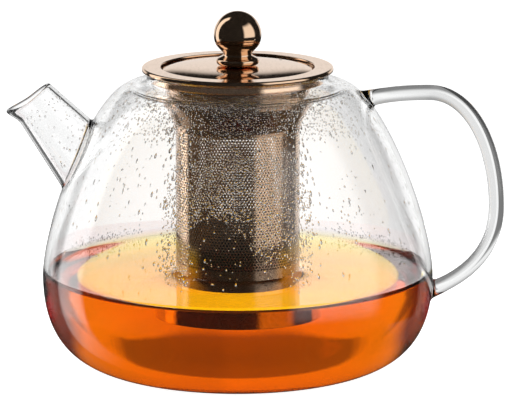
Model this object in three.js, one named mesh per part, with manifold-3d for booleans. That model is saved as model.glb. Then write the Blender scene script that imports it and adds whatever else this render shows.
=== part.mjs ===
// Glass teapot with a lift-out tea infuser and a knobbed lid, in millimetres, +Z up.
// The origin is on the pot's axis at the underside of its base. The spout points to -X and the handle to +X.

import * as THREE from 'three';
import { mergeVertices } from 'three/addons/utils/BufferGeometryUtils.js';
import Module from 'manifold-3d';

const wasm = await Module();
wasm.setup();

// Fits
const seat = 0.3;              // gap left between pieces that rest on or are fixed to each other
const runningGap = 0.4;        // radial gap between pieces that lift or turn past each other

// Glass pot
const glassWall = 2.0;
const bodyRadius = 82.1;       // widest, at the belly
const bellyHeight = 38.7;
const footRadius = 46.2;       // flat underside
const footRun = 18.6;          // how far the foot's curve runs out level
const bellyDrop = 30.1;        // how far the belly's curve runs straight down
const bellyRise = 22.2;        // and straight up
const shoulderRadius = 44.5;   // where the shoulder is level again
const shoulderHeight = 119.7;
const shoulderRun = 15.1;
const neckRadius = 38;         // outside of the neck
const neckFillet = 3.1;        // height of the curve from shoulder to neck
const neckLength = 5.6;        // from the shoulder's level part to the rim
const bowlRise = 30;           // belly to the level where the bowl ends and the shoulder begins

// Spout: a straight cone, cut square, with a pouring lip drawn out below its mouth
const spoutWall = 1.8;
const spoutMouthRadius = 9.6;
const spoutStandOff = 4.1;     // from below the widest part of the belly out to the mouth's centre
const spoutDrop = 11;          // mouth's centre below the pot's rim
const spoutRise = 50;          // degrees above level
const spoutTaper = 8;          // half angle of the cone, degrees
const spoutRoot = 52;          // length of cone made before the pot trims it
const lipDepth = 5;            // length of tube that the lip takes up
const lipDrop = 2.4;           // how far the lip stands out below
const lipForward = 2.5;        // and ahead of the mouth

// Handle: a solid glass rod that leaves the shoulder level, turns down and comes in to the belly
const handleThickness = 6.4;   // in the plane of the bend
const handleWidth = 8.0;       // across it
const handleRootDrop = 7.1;    // upper root below the shoulder
const handleTopDrop = 3.4;     // level stretch below the shoulder
const handleTopRun = 35.5;     // shoulder to the end of the level stretch
const handleStandOff = 26.6;   // belly to the rod's outermost centre line
const handleStandRise = 28.8;  // height of that place above the belly
const handleFootDrop = 8.2;    // lower root below the belly
const handleRootSink = 4;      // rod made this far into the pot, then trimmed by it
const handleShoulderBend = 18; // pull of the upper bend on the level stretch
const handleUpperBend = 24.5;  // and on the outer stretch
const handleLowerBend = 19.5;  // pull of the lower bend on the outer stretch
const handleFootBend = 18;     // and on the stretch that comes in
const handleFootRise = 6;      // rise of that stretch away from the pot
const handleSwell = 0.25;      // share by which the rod swells where it is fused on

// Infuser
const sealThickness = 0.6;
const flangeOverhang = 2;      // flange beyond the neck
const flangeSheet = 1.0;
const flangeLip = 1.8;         // height of the rolled edge
const flangeRoll = 1.1;        // its thickness
const flangeShelf = 2.9;       // flange inwards of its sleeve
const sleeveDepth = 5.2;       // sleeve that centres the infuser in the neck
const sheet = 0.6;             // pressed steel of sleeve, collar, base and lid liner
const ledgeWidth = 1.1;        // how much of the collar's ledge the lid rests on
const ledgeDrop = 2.6;         // ledge below the flange's top
const collarDepth = 11.7;      // straight part below the ledge
const collarTaper = 9.4;       // height of the taper
const collarSkirt = 2.0;       // straight part that holds the basket
const basketRadius = 26;
const basketSheet = 0.5;
const basketFoot = 25;         // table to the underside of the basket
const basketLap = 1.7;         // basket inside the collar's skirt
const cupHeight = 4;           // rim of the basket's base

// Lid
const lidGap = 0.9;            // open ring between lid and flange
const lidSheet = 0.8;
const lidDome = 1.6;           // rise of the cap from its edge to its middle
const lidEdgeRound = 0.6;
const lidStand = 0.4;          // middle of the cap above the flange
const lidSealWidth = 1.4;
const lidSealHeight = 2.5;
const lidSealRise = 2;         // lid seal above the liner's lower edge
const linerDepth = 7.9;
const linerDrop = 1.7;         // liner's plate below the underside of the cap's middle
const linerBoss = 6;           // radius of the boss that meets the cap
const bossMargin = 1;          // washer inside the boss
const ventRadius = 0.8;
const vents = [                // both pairs of vents, by angle in degrees and distance in from the edge
	{ azimuth: 41, inset: 7.2 },
	{ azimuth: 46, inset: 3.6 },
];
const linerVentInset = 0.8;    // how much further in the liner's vents are

// Knob
const ballRadius = 10;
const ballWall = 1.2;
const ballRise = 12.9;         // cap's middle to the centre of the ball
const seamDrop = 3.1;          // ball's centre to the seam
const knobNeckRadius = 6.5;
const knobNeckRise = 4.5;      // narrowest place above the cap
const knobFootRadius = 9;
const knobFootEdge = 0.9;      // height of the foot's upright edge
const knobChamfer = 0.4;
const insertRadius = 3;
const insertRise = 1.5;        // insert above the seam
const screwRadius = 1.5;
const screwShort = 1;          // screw's end below the insert's top
const screwHeadRadius = 3;
const screwHeadHeight = 1.6;
const headChamfer = 0.5;
const washerThickness = 0.8;

// Facets
const bodySides = 48;
const spoutSides = 24;
const rodSides = 12;
const rodSteps = 32;
const sheetSides = 48;
const knobSides = 28;
const smallSides = 16;

// Heights that follow from the sizes above
const rimHeight = shoulderHeight + neckLength;
const sealBottom = rimHeight + seat;
const plateBottom = sealBottom + sealThickness + seat;
const flangeTop = plateBottom + flangeSheet;
const ledgeTop = flangeTop - ledgeDrop;
const ledgeBottom = ledgeTop - sheet;
const collarShoulder = ledgeTop - collarDepth;
const collarWaist = collarShoulder - collarTaper;
const collarBottom = collarWaist - collarSkirt;
const basketTop = collarBottom + basketLap;
const capTop = flangeTop + lidStand;
const capUnder = capTop - lidSheet;
const capRim = ledgeTop + seat;
const bossTop = capUnder - seat;
const linerTop = capUnder - linerDrop;
const linerBottom = linerTop - linerDepth;
const knobFoot = capTop + seat;
const ballCentre = capTop + ballRise;
const seamHeight = ballCentre - seamDrop;
const insertTop = seamHeight + insertRise;
const washerTop = bossTop - sheet - seat;
const washerBottom = washerTop - washerThickness;
const screwHeadTop = washerBottom - seat;
const screwHeadBottom = screwHeadTop - screwHeadHeight;

// Radii that follow
const neckBore = neckRadius - glassWall;
const sleeveRadius = neckBore - runningGap;
const sleeveBore = sleeveRadius - sheet;
const sealBore = sleeveRadius + runningGap;
const flangeRadius = neckRadius + flangeOverhang;
const flangeBore = sleeveBore - flangeShelf;
const ledgeRadius = sleeveBore - seat;
const lidRadius = flangeBore - lidGap;
const collarBore = lidRadius - ledgeWidth;
const collarRadius = collarBore + sheet;
const skirtBore = basketRadius + seat;
const skirtRadius = skirtBore + sheet;
const cupRadius = basketRadius - basketSheet - seat;
const lidSealRadius = collarBore - runningGap;
const lidSealBore = lidSealRadius - lidSealWidth;
const linerRadius = lidSealBore - seat;
const screwHole = screwRadius + seat;
const washerRadius = linerBoss - bossMargin;
const insertHole = insertRadius + seat;

// Finishes
const glass = { color: 0xf2f6f5, roughness: 0.04, metalness: 0, transparent: true, opacity: 0.35 };
const roseGold = { color: 0xd9a07c, roughness: 0.16, metalness: 1 };
const steel = { color: 0xb3a498, roughness: 0.3, metalness: 1 };
const silicone = { color: 0xe6e6e2, roughness: 0.5, metalness: 0 };
const brass = { color: 0xc9a45a, roughness: 0.35, metalness: 1 };

const teapot = new THREE.Group();

function addPiece( name, geometry, finish ) {

	geometry.computeVertexNormals();
	const piece = new THREE.Mesh( geometry, new THREE.MeshStandardMaterial( finish ) );
	piece.name = name;
	teapot.add( piece );

}

// Merges shared corners and drops the slivers that a turned shape leaves on its axis.
function welded( geometry ) {

	geometry.deleteAttribute( 'normal' );
	geometry.deleteAttribute( 'uv' );
	const merged = mergeVertices( geometry, 1e-4 );
	const index = [];
	for ( let i = 0; i < merged.index.count; i += 3 ) {

		const a = merged.index.getX( i );
		const b = merged.index.getX( i + 1 );
		const c = merged.index.getX( i + 2 );
		if ( a !== b && b !== c && c !== a ) index.push( a, b, c );

	}

	merged.setIndex( index );
	return merged;

}

function toSolid( geometry ) {

	return new wasm.Manifold( new wasm.Mesh( {
		numProp: 3,
		vertProperties: new Float32Array( geometry.attributes.position.array ),
		triVerts: new Uint32Array( geometry.index.array ),
	} ) );

}

function toGeometry( solid ) {

	const mesh = solid.getMesh();
	const geometry = new THREE.BufferGeometry();
	geometry.setAttribute( 'position', new THREE.Float32BufferAttribute( mesh.vertProperties, 3 ) );
	geometry.setIndex( Array.from( mesh.triVerts ) );
	return geometry;

}

// Turns a section of [ radius, height ] points, listed anticlockwise, about the Z axis.
// A section that doesn't begin and end on the axis is closed on itself.
function turned( section, sides ) {

	const points = section.map( ( [ radius, height ] ) => new THREE.Vector2( radius, height ) );
	const open = points[ 0 ].x > 0 || points[ points.length - 1 ].x > 0;
	if ( open ) points.push( points[ 0 ].clone() );
	const geometry = new THREE.LatheGeometry( points, sides );
	geometry.rotateX( Math.PI / 2 );
	return welded( geometry );

}

// A plain ring between two radii and two heights.
function ring( bore, radius, bottom, top, sides ) {

	return turned( [ [ bore, bottom ], [ radius, bottom ], [ radius, top ], [ bore, top ] ], sides );

}

// Points round an arc of a section, from one angle to another in degrees.
function arc( radius, height, size, from, to, steps ) {

	const points = [];
	for ( let i = 0; i <= steps; i ++ ) {

		const angle = THREE.MathUtils.degToRad( from + ( to - from ) * i / steps );
		points.push( [ radius + size * Math.cos( angle ), height + size * Math.sin( angle ) ] );

	}

	return points;

}

function bezier( ...corners ) {

	return new THREE.CubicBezierCurve( ...corners.map( ( [ x, y ] ) => new THREE.Vector2( x, y ) ) );

}

function alongCurve( curve, steps ) {

	return curve.getPoints( steps ).map( ( point ) => [ point.x, point.y ] );

}

// Skins a list of rings with equal numbers of points. The ends are closed by fans,
// or joined to each other where the rings run out along a tube and back inside it.
function skinned( rings, joined ) {

	const sides = rings[ 0 ].length;
	const position = rings.flat().flatMap( ( point ) => point.toArray() );
	const index = [];
	const spans = joined ? rings.length : rings.length - 1;
	for ( let i = 0; i < spans; i ++ ) {

		const here = i * sides;
		const next = ( i + 1 ) % rings.length * sides;
		for ( let j = 0; j < sides; j ++ ) {

			const k = ( j + 1 ) % sides;
			index.push( here + j, here + k, next + k, here + j, next + k, next + j );

		}

	}

	if ( ! joined ) {

		const last = ( rings.length - 1 ) * sides;
		for ( let j = 1; j < sides - 1; j ++ ) {

			index.push( 0, j + 1, j );
			index.push( last, last + j, last + j + 1 );

		}

	}

	const geometry = new THREE.BufferGeometry();
	geometry.setAttribute( 'position', new THREE.Float32BufferAttribute( position, 3 ) );
	geometry.setIndex( index );
	return geometry;

}

// Outside line of the pot, from the foot to the top of the neck's fillet, set in by a distance.
function potLine( inset ) {

	const curves = [
		[ bezier(
			[ footRadius, 0 ], [ footRadius + footRun, 0 ],
			[ bodyRadius, bellyHeight - bellyDrop ], [ bodyRadius, bellyHeight ],
		), 7 ],
		[ bezier(
			[ bodyRadius, bellyHeight ], [ bodyRadius, bellyHeight + bellyRise ],
			[ shoulderRadius + shoulderRun, shoulderHeight ], [ shoulderRadius, shoulderHeight ],
		), 9 ],
		[ bezier(
			[ shoulderRadius, shoulderHeight ], [ ( shoulderRadius + neckRadius ) / 2, shoulderHeight ],
			[ neckRadius, shoulderHeight + neckFillet / 3 ], [ neckRadius, shoulderHeight + neckFillet ],
		), 3 ],
	];
	const line = [];
	for ( const [ curve, steps ] of curves ) {

		for ( let i = line.length ? 1 : 0; i <= steps; i ++ ) {

			const point = curve.getPoint( i / steps );
			const along = curve.getTangent( i / steps );
			line.push( [ point.x - inset * along.y, point.y + inset * along.x ] );

		}

	}

	return line;

}

// Outside radius of the pot at a height on its flank.
function potRadiusAt( height ) {

	const line = potLine( 0 );
	const i = line.findIndex( ( [ , z ] ) => z > height );
	const [ lowRadius, low ] = line[ i - 1 ];
	const [ highRadius, high ] = line[ i ];
	return THREE.MathUtils.mapLinear( height, low, high, lowRadius, highRadius );

}

// The pot filled in and a seat gap larger: the spout and the handle are trimmed by it.
function potFilled() {

	const neck = neckRadius + seat;
	const section = [ [ 0, - seat ], ...potLine( - seat ), [ neck, rimHeight ], [ 0, rimHeight ] ];
	return toSolid( turned( section, bodySides ) );

}

// Rings of the spout, from its root to its mouth, with the lip drawn out of the lowest part.
function spoutRings( wall ) {

	const rise = THREE.MathUtils.degToRad( spoutRise );
	const forward = new THREE.Vector3( - Math.cos( rise ), 0, Math.sin( rise ) );
	const upward = new THREE.Vector3( Math.sin( rise ), 0, Math.cos( rise ) );
	const across = new THREE.Vector3( 0, 1, 0 );
	const mouth = new THREE.Vector3( - bodyRadius - spoutStandOff, 0, rimHeight - spoutDrop );
	const flare = Math.tan( THREE.MathUtils.degToRad( spoutTaper ) );
	const steps = [ spoutRoot, spoutRoot / 2, lipDepth, 2 * lipDepth / 3, lipDepth / 3, 0 ];
	return steps.map( ( behind ) => {

		const radius = spoutMouthRadius + behind * flare - wall;
		const nearMouth = 1 - THREE.MathUtils.smoothstep( behind, 0, lipDepth );
		const points = [];
		for ( let j = 0; j < spoutSides; j ++ ) {

			const turn = 2 * Math.PI * j / spoutSides;
			const below = Math.max( 0, - Math.cos( turn ) ) ** 2 * nearMouth;
			points.push( mouth.clone()
				.addScaledVector( forward, lipForward * below - behind )
				.addScaledVector( upward, radius * Math.cos( turn ) - lipDrop * below )
				.addScaledVector( across, radius * Math.sin( turn ) ) );

		}

		return points;

	} );

}

// The blown wall is one piece of glass. It is laid down as a bowl and a shoulder, each open wide at the split.
function makeGlassBody() {

	const lip = arc( neckRadius - glassWall / 2, rimHeight - glassWall / 2, glassWall / 2, 0, 180, 4 );
	const inside = potLine( glassWall ).reverse();
	const section = [ [ 0, 0 ], ...potLine( 0 ), ...lip, ...inside, [ 0, glassWall ] ];
	const wall = toSolid( turned( section, bodySides ) );
	const spoutBore = toSolid( skinned( spoutRings( spoutWall ), false ) );
	const split = bellyHeight + bowlRise;
	const bowl = wall.trimByPlane( [ 0, 0, - 1 ], seat / 2 - split );
	const shoulder = wall.trimByPlane( [ 0, 0, 1 ], split + seat / 2 );
	addPiece( 'glass_body', toGeometry( bowl ), glass );
	addPiece( 'glass_shoulder', toGeometry( shoulder.subtract( spoutBore ) ), glass );

}

function makeSpout() {

	const rings = [ ...spoutRings( 0 ), ...spoutRings( spoutWall ).reverse() ];
	const tube = toSolid( skinned( rings, true ) );
	addPiece( 'glass_spout', toGeometry( tube.subtract( potFilled() ) ), glass );

}

function handleLine() {

	const rootHeight = shoulderHeight - handleRootDrop;
	const topHeight = shoulderHeight - handleTopDrop;
	const footHeight = bellyHeight - handleFootDrop;
	const root = new THREE.Vector3( potRadiusAt( rootHeight ) - handleRootSink, 0, rootHeight );
	const top = new THREE.Vector3( shoulderRadius + handleTopRun, 0, topHeight );
	const out = new THREE.Vector3( bodyRadius + handleStandOff, 0, bellyHeight + handleStandRise );
	const foot = new THREE.Vector3( potRadiusAt( footHeight ) - handleRootSink, 0, footHeight );
	const shifted = ( from, x, z ) => from.clone().add( new THREE.Vector3( x, 0, z ) );
	const topPull = ( top.x - root.x ) / 3;
	const rise = topHeight - rootHeight;
	const path = new THREE.CurvePath();
	path.add( new THREE.CubicBezierCurve3(
		root, shifted( root, topPull, rise * 0.8 ), shifted( top, - topPull, 0 ), top,
	) );
	path.add( new THREE.CubicBezierCurve3(
		top, shifted( top, handleShoulderBend, 0 ), shifted( out, 0, handleUpperBend ), out,
	) );
	path.add( new THREE.CubicBezierCurve3(
		out, shifted( out, 0, - handleLowerBend ), shifted( foot, handleFootBend, handleFootRise ), foot,
	) );
	return path;

}

function makeHandle() {

	const path = handleLine();
	const across = new THREE.Vector3( 0, 1, 0 );
	const rings = [];
	for ( let i = 0; i <= rodSteps; i ++ ) {

		const point = path.getPointAt( i / rodSteps );
		const along = path.getTangentAt( i / rodSteps );
		const outward = new THREE.Vector3().crossVectors( across, along );
		const fromEnd = Math.min( i, rodSteps - i ) / 3;
		const size = 1 + handleSwell * Math.max( 0, 1 - fromEnd ) ** 2;
		const points = [];
		for ( let j = 0; j < rodSides; j ++ ) {

			const turn = 2 * Math.PI * j / rodSides;
			points.push( point.clone()
				.addScaledVector( outward, handleThickness / 2 * size * Math.cos( turn ) )
				.addScaledVector( across, handleWidth / 2 * size * Math.sin( turn ) ) );

		}

		rings.push( points );

	}

	const rod = toSolid( skinned( rings, false ) );
	addPiece( 'glass_handle', toGeometry( rod.subtract( potFilled() ) ), glass );

}

// Soft washer between the infuser's flange and the rim of the neck.
function makeNeckSeal() {

	const washer = ring( sealBore, neckRadius, sealBottom, sealBottom + sealThickness, sheetSides );
	addPiece( 'neck_seal', washer, silicone );

}

// Flange that hangs the infuser on the rim, with a rolled edge and a sleeve inside the neck.
function makeInfuserFlange() {

	const roll = flangeRoll / 2;
	const rollRadius = flangeRadius - roll;
	const section = [
		[ sleeveBore, plateBottom - sleeveDepth ], [ sleeveRadius, plateBottom - sleeveDepth ],
		[ sleeveRadius, plateBottom ], [ flangeRadius - flangeRoll, plateBottom ],
		...arc( rollRadius, flangeTop - flangeLip + roll, roll, 180, 360, 4 ),
		...arc( rollRadius, flangeTop - roll, roll, 0, 90, 3 ),
		[ flangeBore, flangeTop ], [ flangeBore, plateBottom ], [ sleeveBore, plateBottom ],
	];
	addPiece( 'infuser_flange', turned( section, sheetSides ), roseGold );

}

// Ledge that the lid sits on, a straight tube and a taper down to the basket.
function makeInfuserCollar() {

	const taper = ( radius, waist ) => alongCurve( bezier(
		[ radius, collarShoulder ], [ radius, collarShoulder - collarTaper / 2 ],
		[ waist, collarWaist + collarTaper / 2 ], [ waist, collarWaist ],
	), 6 );
	const section = [
		[ skirtBore, collarBottom ], [ skirtRadius, collarBottom ],
		...taper( collarRadius, skirtRadius ).reverse(),
		[ collarRadius, ledgeBottom ], [ ledgeRadius, ledgeBottom ],
		[ ledgeRadius, ledgeTop ], [ collarBore, ledgeTop ],
		...taper( collarBore, skirtBore ),
	];
	addPiece( 'infuser_collar', turned( section, sheetSides ), roseGold );

}

// The basket's etched holes, thousands of them and about 0.7 mm across, are left out of its wall.
function makeBasket() {

	const wall = ring( basketRadius - basketSheet, basketRadius, basketFoot, basketTop, sheetSides );
	addPiece( 'basket_wall', wall, steel );
	const cup = [
		[ 0, basketFoot ], [ cupRadius - sheet, basketFoot ], [ cupRadius, basketFoot + sheet ],
		[ cupRadius, basketFoot + cupHeight ], [ cupRadius - sheet, basketFoot + cupHeight ],
		[ cupRadius - sheet, basketFoot + sheet ], [ 0, basketFoot + sheet ],
	];
	addPiece( 'basket_base', turned( cup, sheetSides ), steel );

}

// Cuts the vents through a lid part, measured in from that part's edge.
function vented( geometry, edge, bottom, top ) {

	let solid = toSolid( geometry );
	for ( const { azimuth, inset } of vents ) {

		const angle = THREE.MathUtils.degToRad( azimuth );
		const radius = edge - inset;
		const pin = new THREE.CylinderGeometry( ventRadius, ventRadius, top - bottom, 12 );
		pin.rotateX( Math.PI / 2 );
		pin.translate( radius * Math.cos( angle ), radius * Math.sin( angle ), ( bottom + top ) / 2 );
		solid = solid.subtract( toSolid( welded( pin ) ) );

	}

	return toGeometry( solid );

}

function makeLidCap() {

	const edge = lidRadius - lidEdgeRound;
	const edgeTop = capTop - lidDome;
	const dome = [ 0.35, 0.6, 0.8, 0.92 ].map( ( share ) => [ share * edge, capTop - lidDome * share ** 2 ] );
	const section = [
		[ screwHole, capUnder ],
		...dome.map( ( [ radius, height ] ) => [ radius, height - lidSheet ] ),
		[ lidRadius - lidSheet, edgeTop - lidSheet ],
		[ lidRadius - lidSheet, capRim ], [ lidRadius, capRim ],
		...arc( edge, edgeTop - lidEdgeRound, lidEdgeRound, 0, 90, 3 ),
		...dome.reverse(),
		[ screwHole, capTop ],
	];
	const cap = turned( section, sheetSides );
	addPiece( 'lid_cap', vented( cap, lidRadius, capRim, capTop + lidSheet ), roseGold );

}

// Inner shell of the lid: a skirt that reaches into the collar, and a boss under the knob.
function makeLidLiner() {

	const bore = linerRadius - sheet;
	const slope = bossTop - linerTop;
	const section = [
		[ screwHole, bossTop - sheet ], [ linerBoss, bossTop - sheet ],
		[ linerBoss + slope, linerTop - sheet ], [ bore, linerTop - sheet ],
		[ bore, linerBottom ], [ linerRadius, linerBottom ], [ linerRadius, linerTop ],
		[ linerBoss + slope + sheet / 2, linerTop ], [ linerBoss + sheet / 2, bossTop ],
		[ screwHole, bossTop ],
	];
	const liner = turned( section, sheetSides );
	const edge = linerRadius - linerVentInset;
	addPiece( 'lid_liner', vented( liner, edge, linerTop - 2 * sheet, linerTop + sheet ), steel );

}

// Soft ring on the liner's skirt, with a blunt edge towards the collar.
function makeLidSeal() {

	const low = linerBottom + lidSealRise;
	const high = low + lidSealHeight;
	const section = [
		[ lidSealBore, low ], [ lidSealRadius - lidSealWidth / 2, low ],
		[ lidSealRadius, ( low + high ) / 2 ],
		[ lidSealRadius - lidSealWidth / 2, high ], [ lidSealBore, high ],
	];
	addPiece( 'lid_seal', turned( section, sheetSides ), silicone );

}

// Upper shell of the knob: a hollow ball, open below the seam.
function makeKnobBall() {

	const low = seamHeight + seat / 2 - ballCentre;
	const angle = ( size ) => THREE.MathUtils.radToDeg( Math.asin( low / size ) );
	const bore = ballRadius - ballWall;
	const section = [
		...arc( 0, ballCentre, bore, 90, angle( bore ), 7 ),
		...arc( 0, ballCentre, ballRadius, angle( ballRadius ), 90, 9 ),
	];
	section[ 0 ][ 0 ] = 0;
	section[ section.length - 1 ][ 0 ] = 0;
	addPiece( 'knob_ball', turned( section, knobSides ), roseGold );

}

// Lower piece of the knob: it closes the ball, narrows to a neck and flares out to a foot.
function makeKnobStem() {

	const seam = seamHeight - seat / 2;
	const seamRadius = Math.sqrt( ballRadius ** 2 - ( ballCentre - seam ) ** 2 );
	const neck = capTop + knobNeckRise;
	const footTop = knobFoot + knobFootEdge;
	const foot = alongCurve( bezier(
		[ knobFootRadius, footTop ], [ knobFootRadius, ( footTop + neck ) / 2 ],
		[ knobNeckRadius, ( footTop + neck ) / 2 ], [ knobNeckRadius, neck ],
	), 5 );
	const cup = alongCurve( bezier(
		[ knobNeckRadius, neck ], [ knobNeckRadius, ( neck + seam ) / 2 ],
		[ seamRadius - knobChamfer, ( neck + seam ) / 2 ], [ seamRadius, seam ],
	), 5 );
	const section = [
		[ insertHole, knobFoot ], [ knobFootRadius - knobChamfer, knobFoot ],
		[ knobFootRadius, knobFoot + knobChamfer ], ...foot, ...cup.slice( 1 ), [ insertHole, seam ],
	];
	addPiece( 'knob_stem', turned( section, knobSides ), roseGold );

}

// Threaded insert in the knob, and the screw and washer that clamp the lid's shells to it.
function makeKnobFixing() {

	const insert = ring( screwHole, insertRadius, knobFoot, insertTop, smallSides );
	addPiece( 'knob_insert', insert, brass );
	const washer = ring( screwHole, washerRadius, washerBottom, washerTop, smallSides );
	addPiece( 'knob_washer', washer, steel );
	const screw = [
		[ 0, screwHeadBottom ], [ screwHeadRadius - headChamfer, screwHeadBottom ],
		[ screwHeadRadius, screwHeadBottom + headChamfer ], [ screwHeadRadius, screwHeadTop ],
		[ screwRadius, screwHeadTop ], [ screwRadius, insertTop - screwShort ],
		[ 0, insertTop - screwShort ],
	];
	addPiece( 'knob_screw', turned( screw, smallSides ), steel );

}

makeGlassBody();
makeSpout();
makeHandle();
makeNeckSeal();
makeInfuserFlange();
makeInfuserCollar();
makeBasket();
makeLidCap();
makeLidLiner();
makeLidSeal();
makeKnobBall();
makeKnobStem();
makeKnobFixing();

export default teapot;
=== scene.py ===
import math

import bmesh
import bpy
from bpy.props import FloatProperty, FloatVectorProperty, IntProperty, PointerProperty
from bpy.types import Operator, Panel, PropertyGroup
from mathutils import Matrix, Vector, noise
from mathutils.geometry import delaunay_2d_cdt


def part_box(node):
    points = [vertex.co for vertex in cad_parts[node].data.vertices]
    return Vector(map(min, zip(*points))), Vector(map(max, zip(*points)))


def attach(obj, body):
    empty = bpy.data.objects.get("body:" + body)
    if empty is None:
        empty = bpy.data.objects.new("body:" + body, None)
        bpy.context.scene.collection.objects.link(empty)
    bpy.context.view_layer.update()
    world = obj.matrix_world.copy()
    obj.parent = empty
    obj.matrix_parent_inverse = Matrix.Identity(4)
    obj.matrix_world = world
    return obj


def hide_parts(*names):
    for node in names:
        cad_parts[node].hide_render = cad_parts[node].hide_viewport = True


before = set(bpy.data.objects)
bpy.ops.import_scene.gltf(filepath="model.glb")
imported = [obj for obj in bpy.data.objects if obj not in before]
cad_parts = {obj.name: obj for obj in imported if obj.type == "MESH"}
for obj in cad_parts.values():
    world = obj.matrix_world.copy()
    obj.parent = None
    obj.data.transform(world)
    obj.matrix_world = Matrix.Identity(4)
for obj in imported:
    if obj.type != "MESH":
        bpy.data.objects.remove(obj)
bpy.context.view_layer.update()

bl_info = {
    "name": "Glass infuser teapot",
    "version": (1, 0, 0),
    "blender": (4, 5, 0),
    "location": "View3D > Sidebar > Teapot",
    "description": "Glass teapot with a lift-out infuser, its lid, the tea in it and a small photo studio",
    "category": "Object",
}

MM = 0.001
GLASS_IOR = 1.47
WATER_IOR = 1.333
SOLID_GLASS = (0.35, 0.4, 0.38)
FOOT_SHARES = (0.985, 0.96, 0.92, 0.86, 0.78, 0.68, 0.56, 0.42, 0.28, 0.14)


def length(name, description, mm):
    return FloatProperty(
        name=name, description=description, default=mm * MM, unit="LENGTH", subtype="DISTANCE", precision=5
    )


def slant(name, description, degrees):
    return FloatProperty(name=name, description=description, default=math.radians(degrees), subtype="ANGLE")


def share(name, description, value):
    return FloatProperty(name=name, description=description, default=value, min=0, soft_max=1, subtype="FACTOR")


def amount(name, description, value):
    return FloatProperty(name=name, description=description, default=value, min=0)


def colour(name, description, rgb):
    return FloatVectorProperty(
        name=name, description=description, default=rgb, size=3, min=0, max=1, subtype="COLOR"
    )


class PotSizes(PropertyGroup):
    wall: length("Wall", "Thickness of the blown wall", 2.0)
    body_radius: length("Body radius", "Widest radius, at the belly", 82.1)
    belly_height: length("Belly height", "Height of the widest place", 38.7)
    foot_radius: length("Foot radius", "Radius of the flat underside", 46.2)
    foot_run: length("Foot run", "How far the foot's curve runs out level", 18.6)
    belly_drop: length("Belly drop", "How far the belly's curve runs straight down", 30.1)
    belly_rise: length("Belly rise", "How far the belly's curve runs straight up", 22.2)
    shoulder_radius: length("Shoulder radius", "Radius where the shoulder is level", 44.5)
    shoulder_height: length("Shoulder height", "Height where the shoulder is level", 119.7)
    shoulder_run: length("Shoulder run", "How far the shoulder's curve runs in level", 15.1)
    neck_radius: length("Neck radius", "Outside of the neck", 38.0)
    neck_fillet: length("Neck fillet", "Height of the curve from shoulder to neck", 3.1)
    neck_length: length("Neck length", "From the shoulder's level part to the rim", 5.6)
    push_up: length("Push-up", "Hollow of the underside at its middle", 0.9)
    # The edge tint is painted shade: a grey that stands in for the dark surroundings seen through the glass's
    # edges.
    tint: colour("Edge tint", "Grey that the glass takes where it is seen edge on", (0.50, 0.50, 0.49))
    density: amount("Grey", "Absorption of the solid glass, per metre", 14.0)


class SpoutSizes(PropertyGroup):
    wall: length("Wall", "Thickness of the spout's wall", 1.8)
    mouth_radius: length("Mouth radius", "Outside radius of the mouth", 9.6)
    stand_off: length("Stand-off", "Mouth's centre out from the belly", 4.1)
    drop: length("Drop", "Mouth's centre below the rim", 11.0)
    rise: slant("Rise", "Slope of the spout above level", 50.0)
    taper: slant("Taper", "Half angle of the cone", 8.0)
    root: length("Root", "Length of the cone before the pot trims it", 52.0)
    lip_depth: length("Lip depth", "Length of tube that the lip takes up", 5.0)
    lip_drop: length("Lip drop", "How far the lip stands out below", 2.4)
    lip_forward: length("Lip forward", "How far the lip stands ahead", 2.5)
    fillet: length("Outer fillet", "Rounding of the fused joint outside", 1.6)
    bore_fillet: length("Inner fillet", "Rounding of the fused joint inside", 1.2)


class HandleSizes(PropertyGroup):
    thickness: length("Thickness", "Rod's size in the plane of the bend", 6.36)
    width: length("Width", "Rod's size across the bend", 8.0)
    root_drop: length("Root drop", "Upper root below the shoulder", 7.1)
    top_drop: length("Top drop", "Level stretch below the shoulder", 3.4)
    top_run: length("Top run", "Shoulder to the end of the level stretch", 35.5)
    stand_off: length("Stand-off", "Belly to the outermost centre line", 26.6)
    stand_rise: length("Stand rise", "Height of that place above the belly", 28.8)
    foot_drop: length("Foot drop", "Lower root below the belly", 8.2)
    sink: length("Sink", "Rod made this far into the pot before it is trimmed", 4.0)
    shoulder_bend: length("Shoulder bend", "Pull of the upper bend on the level stretch", 18.0)
    upper_bend: length("Upper bend", "Pull of the upper bend on the outer stretch", 24.5)
    lower_bend: length("Lower bend", "Pull of the lower bend on the outer stretch", 19.5)
    foot_bend: length("Foot bend", "Pull of the lower bend on the stretch that comes in", 18.0)
    foot_rise: length("Foot rise", "Rise of that stretch away from the pot", 6.0)
    swell: share("Swell", "Share by which the rod swells at its ends", 0.25)
    fillet: length("Fillet", "Rounding of the fused joints", 2.0)


class InfuserSizes(PropertyGroup):
    pitch: length("Pitch", "Middle of one hole to the next", 1.35)
    hole: length("Hole", "Width of an etched hole", 0.82)
    sheet: length("Sheet", "Thickness of the etched sheet", 0.5)
    plain_band: length("Plain band", "Height of the band without holes above the base", 19.5)
    steel: colour("Basket colour", "Thin copper tint of the basket", (0.56, 0.40, 0.28))


class LidSizes(PropertyGroup):
    drop: length("Cap drop", "Fall of the cap from its middle to its edge", 1.4)
    vent: length("Vent radius", "Radius of the two vents", 0.8)
    groove: length("Seam groove", "Depth of the groove between ball and stem", 0.25)


class MetalLooks(PropertyGroup):
    rose_gold: colour("Rose gold", "Colour of the plated metal", (0.80, 0.55, 0.37))
    shaded_bronze: colour("Bronze", "Colour of the satin collar and sleeve", (0.36, 0.24, 0.16))
    # This bronze is darkened well below a real metal's colour: painted shade that keeps the collar dark in the
    # neck.
    roughness: share("Roughness", "Roughness of the polished metal", 0.08)
    steel: colour("Steel", "Colour of the satin steel", (0.62, 0.61, 0.60))
    brass: colour("Brass", "Colour of the turned brass", (0.78, 0.57, 0.28))


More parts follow.
